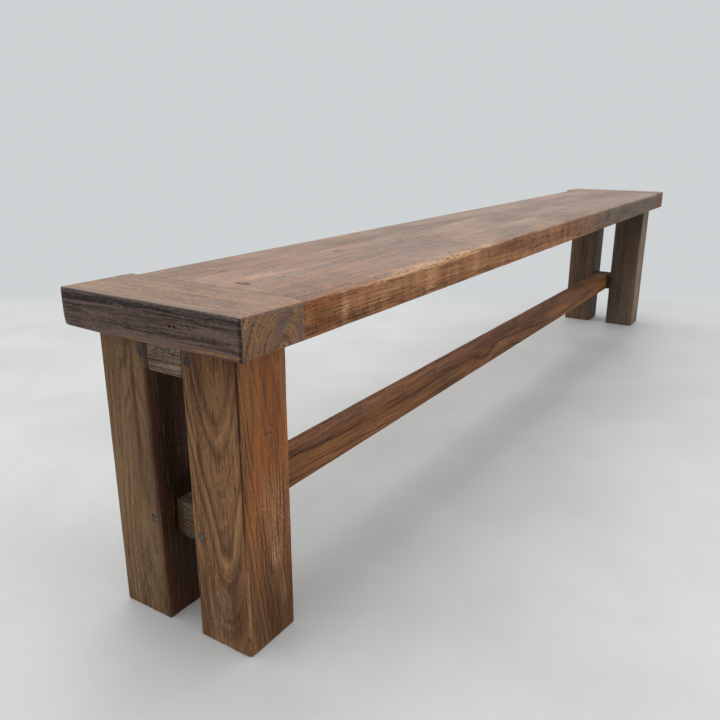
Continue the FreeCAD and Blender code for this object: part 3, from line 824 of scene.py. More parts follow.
@dataclass(frozen=True)
class WoodFinish:
    """Old oiled teak, cut from a log that is solid all the way through.

    The growth rings are cylinders round the heart of the log, bent by slow noise, so that a
    face shows arches, stripes or rings depending on how it cuts them.

    Attributes:
        name: Name of the material.
        grain: Which way the fibres run.
        heart: A point on the heart line of the log.
        body: The usual colour.
        lean: Turn of the heart line away from the grain, in radians about each axis.
        ring: Thickness of a growth ring.
        figure: Strength of the growth rings.
        wander: How far slow noise bends the rings.
        streak: Strength of the broad stripes that follow the rings.
        bands: Strength of the broad streaks along the grain.
        fibre: Strength of the fine ones.
        threads: Strength of the hairlines that follow the rings.
        mottle: Strength of fine spots that run neither way.
        curl: Strength of a light and dark figure across the grain.
        pores: Strength of the dark pores.
        stain: Strength of long dark mineral stains.
        cloud: Strength of large soft patches.
        warmth: Strength of the drift between golden and greyish patches.
        weather: Share of silver-grey weathering all over.
        saw: Strength of pale marks that a saw left across the grain.
        rough: Usual roughness.
        soot: The darkest and the lightest tone in its stains and its painted shade.
        gloss: Strength of the sheen.
        polish: Strength of the polish on the sitting face.
        rubbed: How much of the growth rings is rubbed away under the polish.
        relief: Depth of the bump in metres.
        knots: The knots.
        seed: Picks the random part of the pattern.
    """

    name: str
    grain: Grain
    heart: Triple
    body: Triple
    lean: Triple = (0, 0, 0)
    ring: float = 0.007
    figure: float = 0.7
    wander: float = 0.03
    streak: float = 0.8
    bands: float = 0.6
    fibre: float = 1.0
    threads: float = 0.5
    mottle: float = 0.6
    curl: float = 0.0
    pores: float = 0.6
    stain: float = 0.5
    cloud: float = 0.8
    warmth: float = 0.35
    weather: float = 0.0
    saw: float = 0.0
    rough: float = 0.6
    soot: tuple[Triple, Triple] = ((0.010, 0.003, 0.001), (0.070, 0.026, 0.006))
    gloss: float = 0.2
    polish: float = 0.0
    rubbed: float = 0.5
    relief: float = 0.0012
    knots: tuple[Knot, ...] = ()
    seed: float = 1.0

    def along_grain(self, along: float, across: float) -> Triple:
        """One value for the axis along the grain, and another for the two across it.

        Args:
            along: The value along the grain.
            across: The value across it.

        Returns:
            The three values.
        """
        scale = [across] * 3
        scale[self.grain.value] = along
        return tuple(scale)

    def tint(self, *factors: float) -> Triple:
        """The body colour times a factor for each channel."""
        return tinted(self.body, *factors)

    def material(self) -> bpy.types.Material:
        """Build the wood.

        The distance from the heart line, bent by noise and knots, is counted in rings. Each
        ring starts with a dark porous line that fades, and broad stripes and hairlines follow
        the same distance. Fibres and pores are noise drawn out along the grain. All of it adds
        up to one tone, which a ramp turns into colour, and the patina, with its painted shade
        and painted highlights, is laid over that.

        Returns:
            The material.
        """
        wood = Recipe.named(self.name)
        place = wood.place()

        def grained(along: float, across: float, number: int, *how: float) -> Signal:
            """Noise by its cells to the metre along and across the grain, and its number."""
            return wood.noise(place, self.along_grain(along, across), self.seed + number, *how)

        slow, quick = grained(1.3, 7.0, 0), grained(9.0, 45.0, 1)
        radial = wood.mapped(place, "TEXTURE", self.heart, self.along_grain(1e5, 1.0), self.lean)
        distance = wood.length(radial) + slow * (4 * self.wander) + quick * 0.006
        core = None
        for knot in self.knots:
            reach = wood.length(wood.mapped(place, "TEXTURE", knot.centre, knot.radii)) + quick * 1.6
            distance = distance + (1 - reach.ramp(0.4, 3.6)) * knot.push
            dark = (1 - reach.ramp(0.55, 1.25)) * knot.core
            core = dark if core is None else core + dark

        worn, scratched, calm = 1.0, 1.0, 1.0
        if self.polish:
            shine = wood.add("ShaderNodeAttribute",
                             {"attribute_name": POLISH, "attribute_type": "GEOMETRY"}, output="Fac")
            worn, scratched, calm = 1 - shine * self.rubbed, 0.5 + shine, 1 - shine * 0.4
        count = distance / self.ring
        strength = wood.wave(count.math("FLOOR", count) * 0.73, self.seed, 1.0) * 2.4 + 0.6
        early = (1 - count.math("FRACT", count)) ** 5.0 * strength
        stripe = wood.wave(distance * 60.0, self.seed + 2, 3.0)
        thread = wood.wave(distance * 420.0, self.seed + 13, 2.0)
        band, hair = grained(4.0, 100.0, 3, 3.0, 0.6), grained(12.0, 400.0, 4, 2.0, 0.6)
        fleck, cloud = grained(190.0, 420.0, 11, 3.0, 0.65), grained(4.0, 10.0, 5, 3.0)
        rings = stripe * (1.2 * self.streak) + thread * self.threads - early * (0.6 * self.figure)
        tone = (rings * worn + band * self.bands + hair * (1.3 * self.fibre)
                + fleck * (scratched * self.mottle) + cloud * self.cloud + 0.57)
        if self.curl:
            tone = tone + grained(45.0, 22.0, 12, 3.0, 0.6) * (calm * self.curl)
        stops = [(0.0, self.tint(0.14, 0.10, 0.09)), (0.28, self.tint(0.46, 0.39, 0.34)),
                 (0.55, self.body), (0.8, self.tint(1.5, 1.55, 1.6)), (1.0, self.tint(1.9, 2.1, 2.3))]
        colour = wood.add("ShaderNodeValToRGB", {"stops": stops}, {"Fac": tone})
        drift = grained(3.0, 16.0, 10, 3.0)
        colour = wood.mix((drift * 2.6).ramp() * self.warmth, colour, self.tint(1.45, 1.12, 0.62))
        colour = wood.mix((drift * -2.6).ramp() * self.warmth, colour, self.tint(0.62, 0.70, 0.80))

        mineral = (grained(2.6, 55.0, 6, 4.0, 0.6) + hair * 0.25).ramp(0.07, 0.2)
        colour = wood.mix(mineral * self.stain, colour, self.tint(0.2, 0.18, 0.2))
        pores = grained(18.0, 480.0, 7, 2.0, 0.6).ramp(0.13, 0.2)
        colour = wood.mix(pores * self.pores, colour, self.tint(0.18, 0.15, 0.15))
        if self.weather:
            bare = (cloud * 0.9 + band * 1.1 + self.weather - 0.5).ramp(-0.25, 0.25)
            silver = wood.mix((hair * 1.6 + fleck * 2.2 + 0.42).ramp(), (0.04, 0.032, 0.025),
                              (0.30, 0.26, 0.21))
            colour = wood.mix(bare, colour, silver)
        if self.saw:
            marks = wood.noise(place, self.along_grain(420.0, 110.0), self.seed + 8, 3.0, 0.7)
            patchy = grained(10.0, 16.0, 9).ramp(-0.2, 0.12)
            colour = wood.mix(marks.ramp(0.03, 0.2) * patchy * self.saw, colour, self.tint(1.8, 1.9, 1.9))
        colour = self.with_patina(wood, colour, hair, band, fleck, thread)
        if core is not None:
            core = (core * (fleck * 7.0 + hair * 3.0 + 0.6)).ramp()
            colour = wood.mix(core, colour, self.tint(0.16, 0.13, 0.14))

        height = band * 0.5 + hair + fleck * 0.7 - early * 0.25 - pores * 0.7 - mineral * 0.2
        inputs = {"Base Color": colour, "Normal": wood.bump(height, self.relief),
                  "Roughness": self.rough + hair * 0.4 + band * 0.2 + pores * 0.15,
                  "Specular IOR Level": self.gloss}
        if self.polish:
            coat = shine * (1 + (cloud + hair) * 0.8) * self.polish
            inputs |= {"Coat Weight": coat if core is None else coat * (1 - core), "Coat Roughness": 0.38}
        return wood.surface(inputs)

    def with_patina(self, wood: Recipe, colour: Signal, hair: Signal, band: Signal,
                    fleck: Signal, thread: Signal) -> Signal:
        """Lay the painted stains and wear, painted shade and painted highlights over the wood, broken up by
        its own fibres.

        Args:
            wood: The material's recipe.
            colour: The wood's colour.
            hair: Fine noise drawn out along the grain.
            band: Broader noise drawn out along the grain.
            fleck: Fine noise that runs neither way.
            thread: Noise along the distance from the heart.

        Returns:
            The colour with its patina.
        """
        paint = wood.node("ShaderNodeAttribute", {"attribute_name": PATINA_AND_PAINTED_LIGHT, "attribute_type": "GEOMETRY"})
        parts = wood.node("ShaderNodeSeparateColor", None, {0: Signal(wood, paint.outputs["Color"])})
        dark, pale, grey = (Signal(wood, socket) for socket in parts.outputs)
        red = Signal(wood, paint.outputs["Alpha"])
        ragged = 1 + (hair * 3.5 + band * 2.2 + fleck * 2.0)
        rusty = wood.mix((hair * 1.5 + band * 0.8 + thread * 0.8 + fleck * 0.8 + 0.5).ramp(),
                         self.tint(0.72, 0.40, 0.19), self.tint(1.65, 1.12, 0.65))
        colour = wood.mix((red * ragged).ramp(), colour, rusty)
        weathered = wood.mix((hair * 1.4 + fleck * 2.4 + 0.42).ramp(), (0.035, 0.028, 0.022),
                             (0.24, 0.20, 0.155))
        colour = wood.mix((grey * ragged).ramp(0.1, 0.8), colour, weathered)
        # The pale channel is raw light wood, and along the arrises partly a painted highlight.
        torn = 1 + (hair * 4.0 + fleck * 4.0)
        colour = wood.mix((pale * torn).ramp(0.1, 0.8), colour, self.tint(2.3, 2.7, 3.2))
        # The dark channel is stains, and in a few shaded places painted shade.
        depth = hair * 2.1 + band * 0.8 + fleck * 1.4 + thread * 0.5 - (dark - 0.8) * 1.5 + 0.5
        return wood.mix((dark * ragged).ramp(0.05, 0.6), colour, wood.mix(depth.ramp(), *self.soot))


@dataclass(frozen=True)
class PegFinish:
    """Dark end grain of a driven peg, stained blue-black by iron.

    Attributes:
        name: Name of the material.
        body: The usual colour.
        seed: Picks the random part of the pattern.
    """

    name: str
    body: Triple = (0.030, 0.029, 0.032)
    seed: float = 3.0

    def material(self) -> bpy.types.Material:
        """Build the end grain: speckled pores over soft blotches.

        Returns:
            The material.
        """
        wood = Recipe.named(self.name)
        place = wood.place()
        blotch = wood.noise(place, (260.0,) * 3, self.seed, 3.0)
        pores = wood.noise(place, (1500.0,) * 3, self.seed + 1, 1.0)
        colour = wood.mix((blotch * 1.4 + pores * 0.8 + 0.5).ramp(), tinted(self.body, 0.35),
                          tinted(self.body, 2.4))
        return wood.surface({"Base Color": colour, "Roughness": 0.6 + pores * 0.3,
                             "Specular IOR Level": 0.2,
                             "Normal": wood.bump(blotch + pores * 0.6, 0.0003, 0.8)})


@dataclass(frozen=True)
class ScrewFinish:
    """Dull zinc plate on a steel screw, clouded with age.

    Attributes:
        name: Name of the material.
        body: The usual colour.
    """

    name: str
    body: Triple = (0.45, 0.44, 0.42)

    def material(self) -> bpy.types.Material:
        """Build the zinc: cloudy tone and roughness over fine turning marks.

        Returns:
            The material.
        """
        zinc = Recipe.named(self.name)
        place = zinc.place()
        cloud = zinc.noise(place, (420.0,) * 3, 2.0, 3.0)
        turned = zinc.noise(place, (300.0, 300.0, 4200.0), 3.0, 1.0)
        colour = zinc.mix((cloud * 2 + 0.4).ramp(), self.body, tinted(self.body, 0.45))
        return zinc.surface({"Base Color": colour, "Metallic": 1.0, "Roughness": 0.42 + cloud * 0.5,
                             "Normal": zinc.bump(turned, 0.0001, 0.4)})


@dataclass(frozen=True)
class FloorFinish:
    """Plain pale plastered floor with a faint mottle, which runs into the backdrop.

    Attributes:
        name: Name of the material.
        body: The usual colour.
        backdrop: Colour that the camera sees in place of the floor far from the bench.
        heading: Direction in which the backdrop begins soonest.
        fade: Where it begins and is full in that direction, in metres from the bench.
        far_fade: The same in every other direction.
    """

    name: str
    body: Triple = (0.62, 0.62, 0.61)
    backdrop: Triple = WALL_COLOUR
    heading: Triple = WALL_SIDE
    fade: Pair = (1.0, 1.35)
    far_fade: Pair = (2.6, 6.0)

    def material(self) -> bpy.types.Material:
        """Build the floor: two pale tones mixed by soft noise, and the backdrop past them.

        Returns:
            The material.
        """
        floor = Recipe.named(self.name)
        place = floor.place()
        mottle = floor.noise(place, (3.0, 3.0, 3.0), 4.0, 6.0, 0.62)
        colour = floor.mix((mottle * 2.6 + 0.5).ramp(), tinted(self.body, 0.9), self.body)
        near = floor.add("ShaderNodeBsdfPrincipled", None,
                         {"Base Color": colour, "Roughness": 0.5 + mottle * 0.4})
        far = floor.add("ShaderNodeEmission", None, {"Color": (*self.backdrop, 1.0)})
        past = floor.along(place, self.heading).ramp(*self.fade)
        outside = floor.length(place).ramp(*self.far_fade)
        seen = floor.add("ShaderNodeLightPath", output="Is Camera Ray")
        return floor.finish(floor.blend(past.math("MAXIMUM", past, outside) * seen, near, far))


OAKY, CHESTNUT = (0.262, 0.120, 0.050), (0.205, 0.100, 0.041)
HONEY, WALNUT = (0.165, 0.094, 0.043), (0.11, 0.068, 0.040)

FRONT_BOARD = WoodFinish(
    "front_board_teak", Grain.LENGTHWISE, (0, -0.10, 0.36), OAKY, lean=(0, 0.012, 0.008), ring=0.008,
    figure=0.5, wander=0.02, streak=0.6, bands=0.5, fibre=0.7, threads=0.3, mottle=1.1, pores=0.4,
    stain=0.1, saw=0.5, curl=1.1, warmth=0.25, rough=0.55, gloss=0.12, polish=1.0, relief=0.0018,
    seed=1.3,
    knots=(Knot((-0.20, -0.1475, 0.43), (0.016, 0.02, 0.007), 0.012, 0.4),
           Knot((0.36, -0.1475, 0.43), (0.02, 0.02, 0.008), 0.012, 0.5)))
MIDDLE_BOARD = replace(
    FRONT_BOARD, name="middle_board_teak", heart=(0, 0.03, 0.37), lean=(0, 0.02, -0.015), figure=0.35,
    wander=0.03, stain=0.25, curl=0.5, seed=2.1,
    knots=(Knot((-0.918, -0.031, 0.45), (0.007, 0.013, 0.03), 0.016, 0.8),
           Knot((-0.942, 0.033, 0.45), (0.006, 0.006, 0.03), 0.008, 0.5),
           Knot((-0.856, -0.041, 0.45), (0.010, 0.002, 0.03), 0.004, 0.7),
           Knot((-0.633, 0.0255, 0.45), (0.013, 0.003, 0.03), 0.010, 0.9),
           Knot((-0.672, -0.052, 0.45), (0.018, 0.0022, 0.03), 0.006, 1.0),
           Knot((-0.775, -0.055, 0.45), (0.014, 0.002, 0.03), 0.004, 0.5)))
BACK_BOARD = replace(
    MIDDLE_BOARD, name="back_board_teak", heart=(0, 0.12, 0.35), lean=(0, -0.015, 0.012), seed=3.7,
    knots=(Knot((-0.869, 0.0525, 0.45), (0.012, 0.004, 0.03), 0.010, 1.0),))
NEAR_CAP = WoodFinish(
    "near_cap_teak", Grain.CROSSWISE, (-0.986, 0, 0.400), (0.242, 0.116, 0.045), ring=0.0045,
    figure=1.3, wander=0.004, streak=1.1, bands=0.4, fibre=0.6, threads=1.5, mottle=1.0, pores=0.4,
    stain=0.1, cloud=0.6, saw=0.9, curl=0.4, warmth=0.15, rough=0.55, gloss=0.12, polish=0.85,
    rubbed=0.68, soot=((0.016, 0.012, 0.011), (0.150, 0.098, 0.080)), seed=4.4,
    knots=(Knot((-0.968, -0.1475, 0.437), (0.003, 0.01, 0.004), 0.006, 0.5),))
FAR_CAP = replace(NEAR_CAP, name="far_cap_teak", heart=(0.99, 0, 0.38), knots=(), seed=5.2)
FRONT_POST = WoodFinish(
    "near_front_post_teak", Grain.UPRIGHT, (-0.915, -0.072, 0.0), CHESTNUT, lean=(0.02, -0.12, 0),
    ring=0.008, figure=0.5, wander=0.012, streak=0.55, bands=0.25, fibre=0.6, threads=0.65,
    pores=0.55, stain=0.2, seed=6.1, knots=(Knot((-0.975, -0.115, 0.275), (0.005, 0.01, 0.007), 0.012, 0.3),))
BACK_POST = replace(FRONT_POST, name="near_back_post_teak", heart=(-0.90, 0.05, 0.0), body=HONEY,
                    lean=(0.02, 0.03, 0), knots=(), seed=7.5,
                    soot=((0.011, 0.0035, 0.0014), (0.074, 0.027, 0.009)))
FAR_FRONT_POST = replace(BACK_POST, name="far_front_post_teak", heart=(0.99, -0.2, 0.2), body=WALNUT,
                         soot=((0.010, 0.006, 0.004), (0.070, 0.048, 0.034)), seed=8.2)
FAR_BACK_POST = replace(FAR_FRONT_POST, name="far_back_post_teak", heart=(0.99, 0.2, 0.2), seed=9.4)
UPPER_RAIL = WoodFinish(
    "upper_rail_teak", Grain.CROSSWISE, (-0.99, 0, 0.30), (0.16, 0.106, 0.070), ring=0.006, figure=0.3,
    wander=0.01, streak=0.3, bands=0.4, mottle=1.0, stain=0.2, weather=0.44, rough=0.75, relief=0.0016,
    seed=10.3)
LOWER_RAIL = replace(UPPER_RAIL, name="lower_rail_teak", heart=(-0.98, 0, 0.10), figure=0.6,
                     body=(0.10, 0.074, 0.049), weather=0.34, seed=11.8)
FAR_UPPER_RAIL = replace(UPPER_RAIL, name="far_upper_rail_teak", heart=(0.99, 0, 0.30), seed=13.1)
FAR_LOWER_RAIL = replace(LOWER_RAIL, name="far_lower_rail_teak", heart=(0.98, 0, 0.10), seed=14.9)
STRETCHER_WOOD = WoodFinish(
    "stretcher_teak", Grain.LENGTHWISE, (0, 0.02, 0.09), (0.182, 0.071, 0.024), lean=(0, 0.01, 0.012),
    ring=0.009, wander=0.02, streak=0.6, mottle=0.5, stain=0.45, seed=12.6,
    knots=(Knot((-0.1, -0.018, 0.145), (0.02, 0.02, 0.008), 0.012, 0.4),))
PEG_ENDS = {"upper": PegFinish("peg_end_grain"),
            "lower": PegFinish("lower_peg_end_grain", (0.060, 0.048, 0.040))}
HIDDEN_PEG = PegFinish("hidden_peg_grain", (0.16, 0.095, 0.055))
SCREW_ZINC = ScrewFinish("screw_zinc")


# ---------------------------------------------------------------- the seat


def dipped(points: Array, sharp: Array, low: Array, high: Array, spared: Array | float = 0.0) -> Array:
    """Let the top of a timber dip to its front edge, where legs have rubbed it.

    Args:
        points: Worn points of the timber.
        sharp: Its sharp-edged points.
        low: Its lowest corner.
        high: Its highest corner.
        spared: Share of the dip that is left out at each point.

    Returns:
        The changed points.
    """
    reach, dip, deeper, deepest_place, stretch = 0.03, 0.0026, 0.0036, -0.74, 0.2
    most_spared = 0.7
    depth = dip + deeper * np.exp(-((sharp[:, 0] - deepest_place) / stretch) ** 2)
    share = np.clip((low[1] + reach - sharp[:, 1]) / reach, 0, 1) ** 2
    height = (sharp[:, 2] - low[2]) / (high[2] - low[2])
    moved = points.copy()
    moved[:, 2] -= depth * share * height * (1 - most_spared * spared)
    return moved


@dataclass(frozen=True)
class BoardLooks:
    """Where the boards are worn and stained.

    Attributes:
        top: Height of the sitting face.
        underside: Height of the boards' underside.
        front: Front edge of the front board.
        back: Back edge of the back board.
        seam: Radius of the arrises along the seams.
    """

    top: float
    underside: float
    front: float
    back: float
    seam: float = 0.0006

    def board_ends(self) -> dict[frozenset, float]:
        """The radii at the boards' ends, which are cut sharp against the caps."""
        return {**meeting(Side.TOP, ENDS, 0.0003), **meeting(Side.UNDER, ENDS, 0.0005),
                **meeting(Side.FRONT, ENDS, self.seam), **meeting(Side.BACK, ENDS, self.seam)}

    def front_edge(self, place: float, long: float, wide: float, **tones: float) -> Patch:
        """A patch on the arris along the front of the seat."""
        return Patch((place, self.front, self.top), (long, wide, wide), **tones)

    def front_board(self) -> dict[str, Any]:
        """The front board: rust-red by the near joint, with a rubbed and splintered front arris.

        Returns:
            The fields of the timber.
        """
        skin, top = Face(1, self.front, 0.003), Face(2, self.top, 0.01)
        thin_top = Face(2, self.top, 0.004)
        patches = (
            skin((0.0, 0.42), (2.0, 0.06), red=0.2),
            Face(1, self.front, 0.002)((-0.915, 0.42), (0.03, 0.03), dark=0.25, red=0.25),
            self.front_edge(-0.91, 0.03, 0.0016, red=0.9),
            skin((-0.77, 0.425), (0.09, 0.04), pale=0.22),
            skin((-0.865, 0.425), (0.010, 0.03), pale=0.3),
            skin((-0.635, 0.425), (0.020, 0.03), pale=0.45),
            skin((-0.475, 0.425), (0.022, 0.03), pale=0.4),
            skin((-0.40, 0.42), (0.35, 0.05), dark=0.14),
            self.front_edge(-0.66, 0.10, 0.004, pale=0.6),
            Patch((-0.56, self.front, self.top), (0.09, 0.008, 0.007), pale=0.9),
            skin((0.7, 0.425), (0.4, 0.04), grey=0.8),
            skin((0.3, 0.425), (0.25, 0.04), grey=0.25),
            thin_top((-0.60, self.front + 0.008), (0.035, 0.005), dark=0.35),
            self.front_edge(-0.45, 0.12, 0.004, pale=0.55),
            self.front_edge(-0.15, 0.12, 0.004, pale=0.45),
            Face(1, self.front, 0.02)((0.55, 0.43), (0.12, 0.02), dark=0.25),
            thin_top((-0.6, -0.056), (0.4, 0.003), pale=0.5),
            thin_top((-0.66, self.front + 0.012), (0.16, 0.012), pale=0.3),
            top((-0.86, -0.09), (0.10, 0.035), pale=0.16),
            top((-0.84, -0.09), (0.30, 0.2), red=0.40))
        wear = [Wear((place, self.front, self.top), (long, 0.02, 0.02), extra)
                for place, long, extra in ((-0.80, 0.08, 0.0015), (-0.34, 0.2, 0.0012), (0.25, 0.3, 0.001))]
        edge, under = (self.front, self.top), (self.front, self.underside)
        out = (0, -SLOPE, SLOPE)
        scoops = (Scoop((-0.60, self.front - 0.002, self.top + 0.006), (0.022, 0.009, 0.008)),
                  *nicks((-0.82, *edge), (-0.42, *edge), out, 60, 0.009, 0.003, 5),
                  *nicks((-0.67, *edge), (-0.45, *edge), (0, -0.6, 0.8), 60, 0.009, 0.0055, 8),
                  *nicks((-0.42, *edge), (0.93, *edge), out, 46, 0.016, 0.0014, 6),
                  *nicks((-0.93, *under), (0.93, *under), (0, -SLOPE, -SLOPE), 40, 0.015, 0.0014, 7))
        arrises = {**self.board_ends(), **meeting(Side.BACK, FLATS, self.seam),
                   **meeting(Side.FRONT, (Side.TOP,), 0.0022)}
        return {"finish": FRONT_BOARD, "arris": 0.003, "seed": 11, "shape": self.dipped_front,
                "fine": (-0.80, -0.42, 0.0016), "arrises": arrises, "wear": wear, "scoops": scoops,
                "patches": patches}

    def middle_board(self) -> dict[str, Any]:
        """The middle board: tight to both its neighbours, with dark marks on its top.

        Returns:
            The fields of the timber.
        """
        top = Face(2, self.top, 0.01)
        patches = (top((-0.84, 0.0), (0.30, 0.2), red=0.38), top((-0.34, 0.036), (0.13, 0.004), dark=0.5),
                   top((0.42, 0.0), (0.09, 0.012), dark=0.4), top((0.6, -0.02), (0.06, 0.01), dark=0.3),
                   top((-0.87, -0.012), (0.05, 0.014), pale=0.35),
                   top((-0.77, -0.027), (0.10, 0.010), pale=0.25))
        arrises = {**self.board_ends(), **meeting(Side.BACK, FLATS, self.seam),
                   **meeting(Side.FRONT, FLATS, self.seam)}
        return {"finish": MIDDLE_BOARD, "arris": 0.001, "seed": 12, "pale_edge": 0.1,
                "arrises": arrises, "patches": patches}

    def back_board(self) -> dict[str, Any]:
        """The back board: a wavy back edge, and dark marks on its top.

        Returns:
            The fields of the timber.
        """
        top = Face(2, self.top, 0.01)
        patches = (top((-0.856, 0.078), (0.03, 0.012), pale=0.3, red=0.3),
                   top((-0.84, 0.09), (0.30, 0.2), red=0.34), top((-0.31, 0.05), (0.12, 0.004), dark=0.45),
                   top((0.3, 0.1), (0.2, 0.012), dark=0.25),
                   Patch((0.0, self.back, self.top), (0.9, 0.004, 0.004), pale=0.15))
        arrises = {**self.board_ends(), **meeting(Side.FRONT, FLATS, self.seam)}
        return {"finish": BACK_BOARD, "arris": 0.003, "seed": 13, "shape": self.wavy_back,
                "arrises": arrises, "patches": patches}

    def dipped_front(self, points: Array, sharp: Array) -> Array:
        """Let the top of the front board dip to its front edge."""
        return dipped(points, sharp, *corners("seat_board_front"))

    def wavy_back(self, points: Array, sharp: Array) -> Array:
        """Let the back edge wave: the back part of the board is drawn in by slow noise.

        Args:
            points: Worn points of the back board.
            sharp: Its sharp-edged points.

        Returns:
            The changed points.
        """
        reach, (slow, slow_cells), (quick, quick_cells) = 0.03, (0.0007, 7.0), (0.0004, 40.0)
        along = sharp * (1, 0, 0)
        wave = slow * (1 + SolidNoise(31)(along, slow_cells, 3))
        wave = wave + quick * (1 + SolidNoise(32)(along, quick_cells))
        moved = points.copy()
        moved[:, 1] -= wave * np.clip((sharp[:, 1] - self.back + reach) / reach, 0, 1) ** 2
        return moved


@dataclass(frozen=True)
class CapLooks:
    """Where an end cap is worn and stained, and where its arrises carry a painted highlight.

    Attributes:
        end: Which end of the bench.
        low: Lowest corner of the cap.
        high: Its highest corner.
    """

    end: End
    low: Array
    high: Array

    @property
    def face(self) -> float:
        """Place of the cap's outer face along the bench."""
        return self.low[0] if self.end is End.NEAR else self.high[0]

    def fields(self) -> dict[str, Any]:
        """The radii of its arrises, which are tight against the boards, and the rest of its wear.

        Returns:
            The fields of the timber.
        """
        outer = self.end.outer
        arrises = {**meeting(self.end.inner, (Side.TOP, Side.UNDER, Side.FRONT, Side.BACK), 0.0003),
                   **meeting(outer, (Side.FRONT,), 0.0014), **meeting(outer, (Side.BACK,), 0.0016),
                   **meeting(outer, (Side.TOP,), 0.0022), **meeting(outer, (Side.UNDER,), 0.003),
                   **meeting(Side.TOP, (Side.FRONT, Side.BACK), 0.002)}
        wear = (Wear((self.face, self.high[1], self.low[2]), (0.02, 0.03, 0.012), 0.003),)
        finish, seed = {End.NEAR: (NEAR_CAP, 14), End.FAR: (FAR_CAP, 15)}[self.end]
        return {"finish": finish, "seed": seed, "arris": 0.0025, "arrises": arrises, "wear": wear,
                "scoops": self.scoops(), "patches": self.patches(), "shape": self.dipped_front}

    def scoops(self) -> tuple[Scoop, ...]:
        """Nicks along the upper and the lower arris of the outer face.

        Returns:
            The hollows.
        """
        inset = 0.01
        scoops: tuple[Scoop, ...] = ()
        for seed, height, rise in ((41, self.high[2], SLOPE), (42, self.low[2], -SLOPE)):
            scoops += nicks((self.face, self.low[1] + inset, height),
                            (self.face, self.high[1] - inset, height),
                            (SLOPE * self.end.value, 0, rise), 16, 0.02, 0.0009, seed + self.end.value)
        return scoops

    def patches(self) -> tuple[Patch, ...]:
        """The dark outer face with its near-black upper band, pale lines along its top and bottom
        arrises that are partly rubbed wear and partly a painted highlight, and the bruised front end.

        The far cap is stained less. The patches with a place of their own along the bench
        reach only one of the caps.

        Returns:
            The patches.
        """
        front, top = self.low[1], self.high[2]
        tone = 1.0 if self.end is End.NEAR else 0.6
        middle = (self.low[0] + self.high[0]) / 2
        face, skin = Face(0, self.face, 0.003), Face(1, front, 0.003)
        stains = [face(place, size, dark=dark * tone) for place, size, dark in (
            ((0.0, 0.4275), (0.6, 0.06), 0.8), ((0.10, 0.443), (0.07, 0.005), 0.3),
            ((-0.02, 0.4445), (0.12, 0.003), 0.28), ((-0.10, 0.438), (0.05, 0.003), 0.15),
            ((-0.02, 0.427), (0.06, 0.004), 0.1), ((0.13, 0.420), (0.02, 0.03), 0.12))]
        return (*stains,
                face((-0.105, 0.424), (0.018, 0.004), pale=0.25 * tone),
                # Pale lines along the outer face's top and bottom arrises: partly rubbed wear, partly a
                # painted highlight.
                face((0.0, top), (0.2, 0.0016), pale=0.3 * tone),
                Face(0, self.face, 0.004)((0.0, self.low[2] + 0.0008), (0.2, 0.0022), pale=0.5 * tone),
                Patch((self.face, front + 0.001, 0.425), (0.0018, 0.0016, 0.035), dark=0.8 * tone),
                skin((middle, 0.425), (0.1, 0.04), dark=0.13, red=0.12),
                skin((-0.974, 0.443), (0.007, 0.006), dark=0.45),
                skin((-0.985, 0.432), (0.009, 0.006), dark=0.45),
                skin((-0.995, 0.421), (0.006, 0.008), dark=0.25),
                skin((-0.961, 0.443), (0.004, 0.006), pale=0.3),
                skin((-0.992, 0.408), (0.012, 0.005), pale=0.22, grey=0.2),
                skin((-1.043, 0.43), (0.006, 0.02), pale=0.2),
                skin((1.04, 0.43), (0.02, 0.04), dark=0.4, grey=0.3),
                Patch((-0.995, front, top), (0.06, 0.0016, 0.0016), red=0.8),
                Patch((middle, 0.0, top), (0.2, 0.3, 0.006), red=0.18),
                Patch((-1.007, -0.085, top), (0.016, 0.022, 0.006), grey=0.25),
                Patch((middle, front, top), (0.02, 0.012, 0.006), dark=0.2 * tone),
                Patch((self.face - self.end.value * 0.1, front, 0.425), (0.007, 0.004, 0.03),
                      dark=0.25, red=0.3))

    def dipped_front(self, points: Array, sharp: Array) -> Array:
        """Let the top dip to the front edge, less and less towards the outer face."""
        width = self.high[0] - self.low[0]
        return dipped(points, sharp, self.low, self.high, 1 - abs(sharp[:, 0] - self.face) / width)


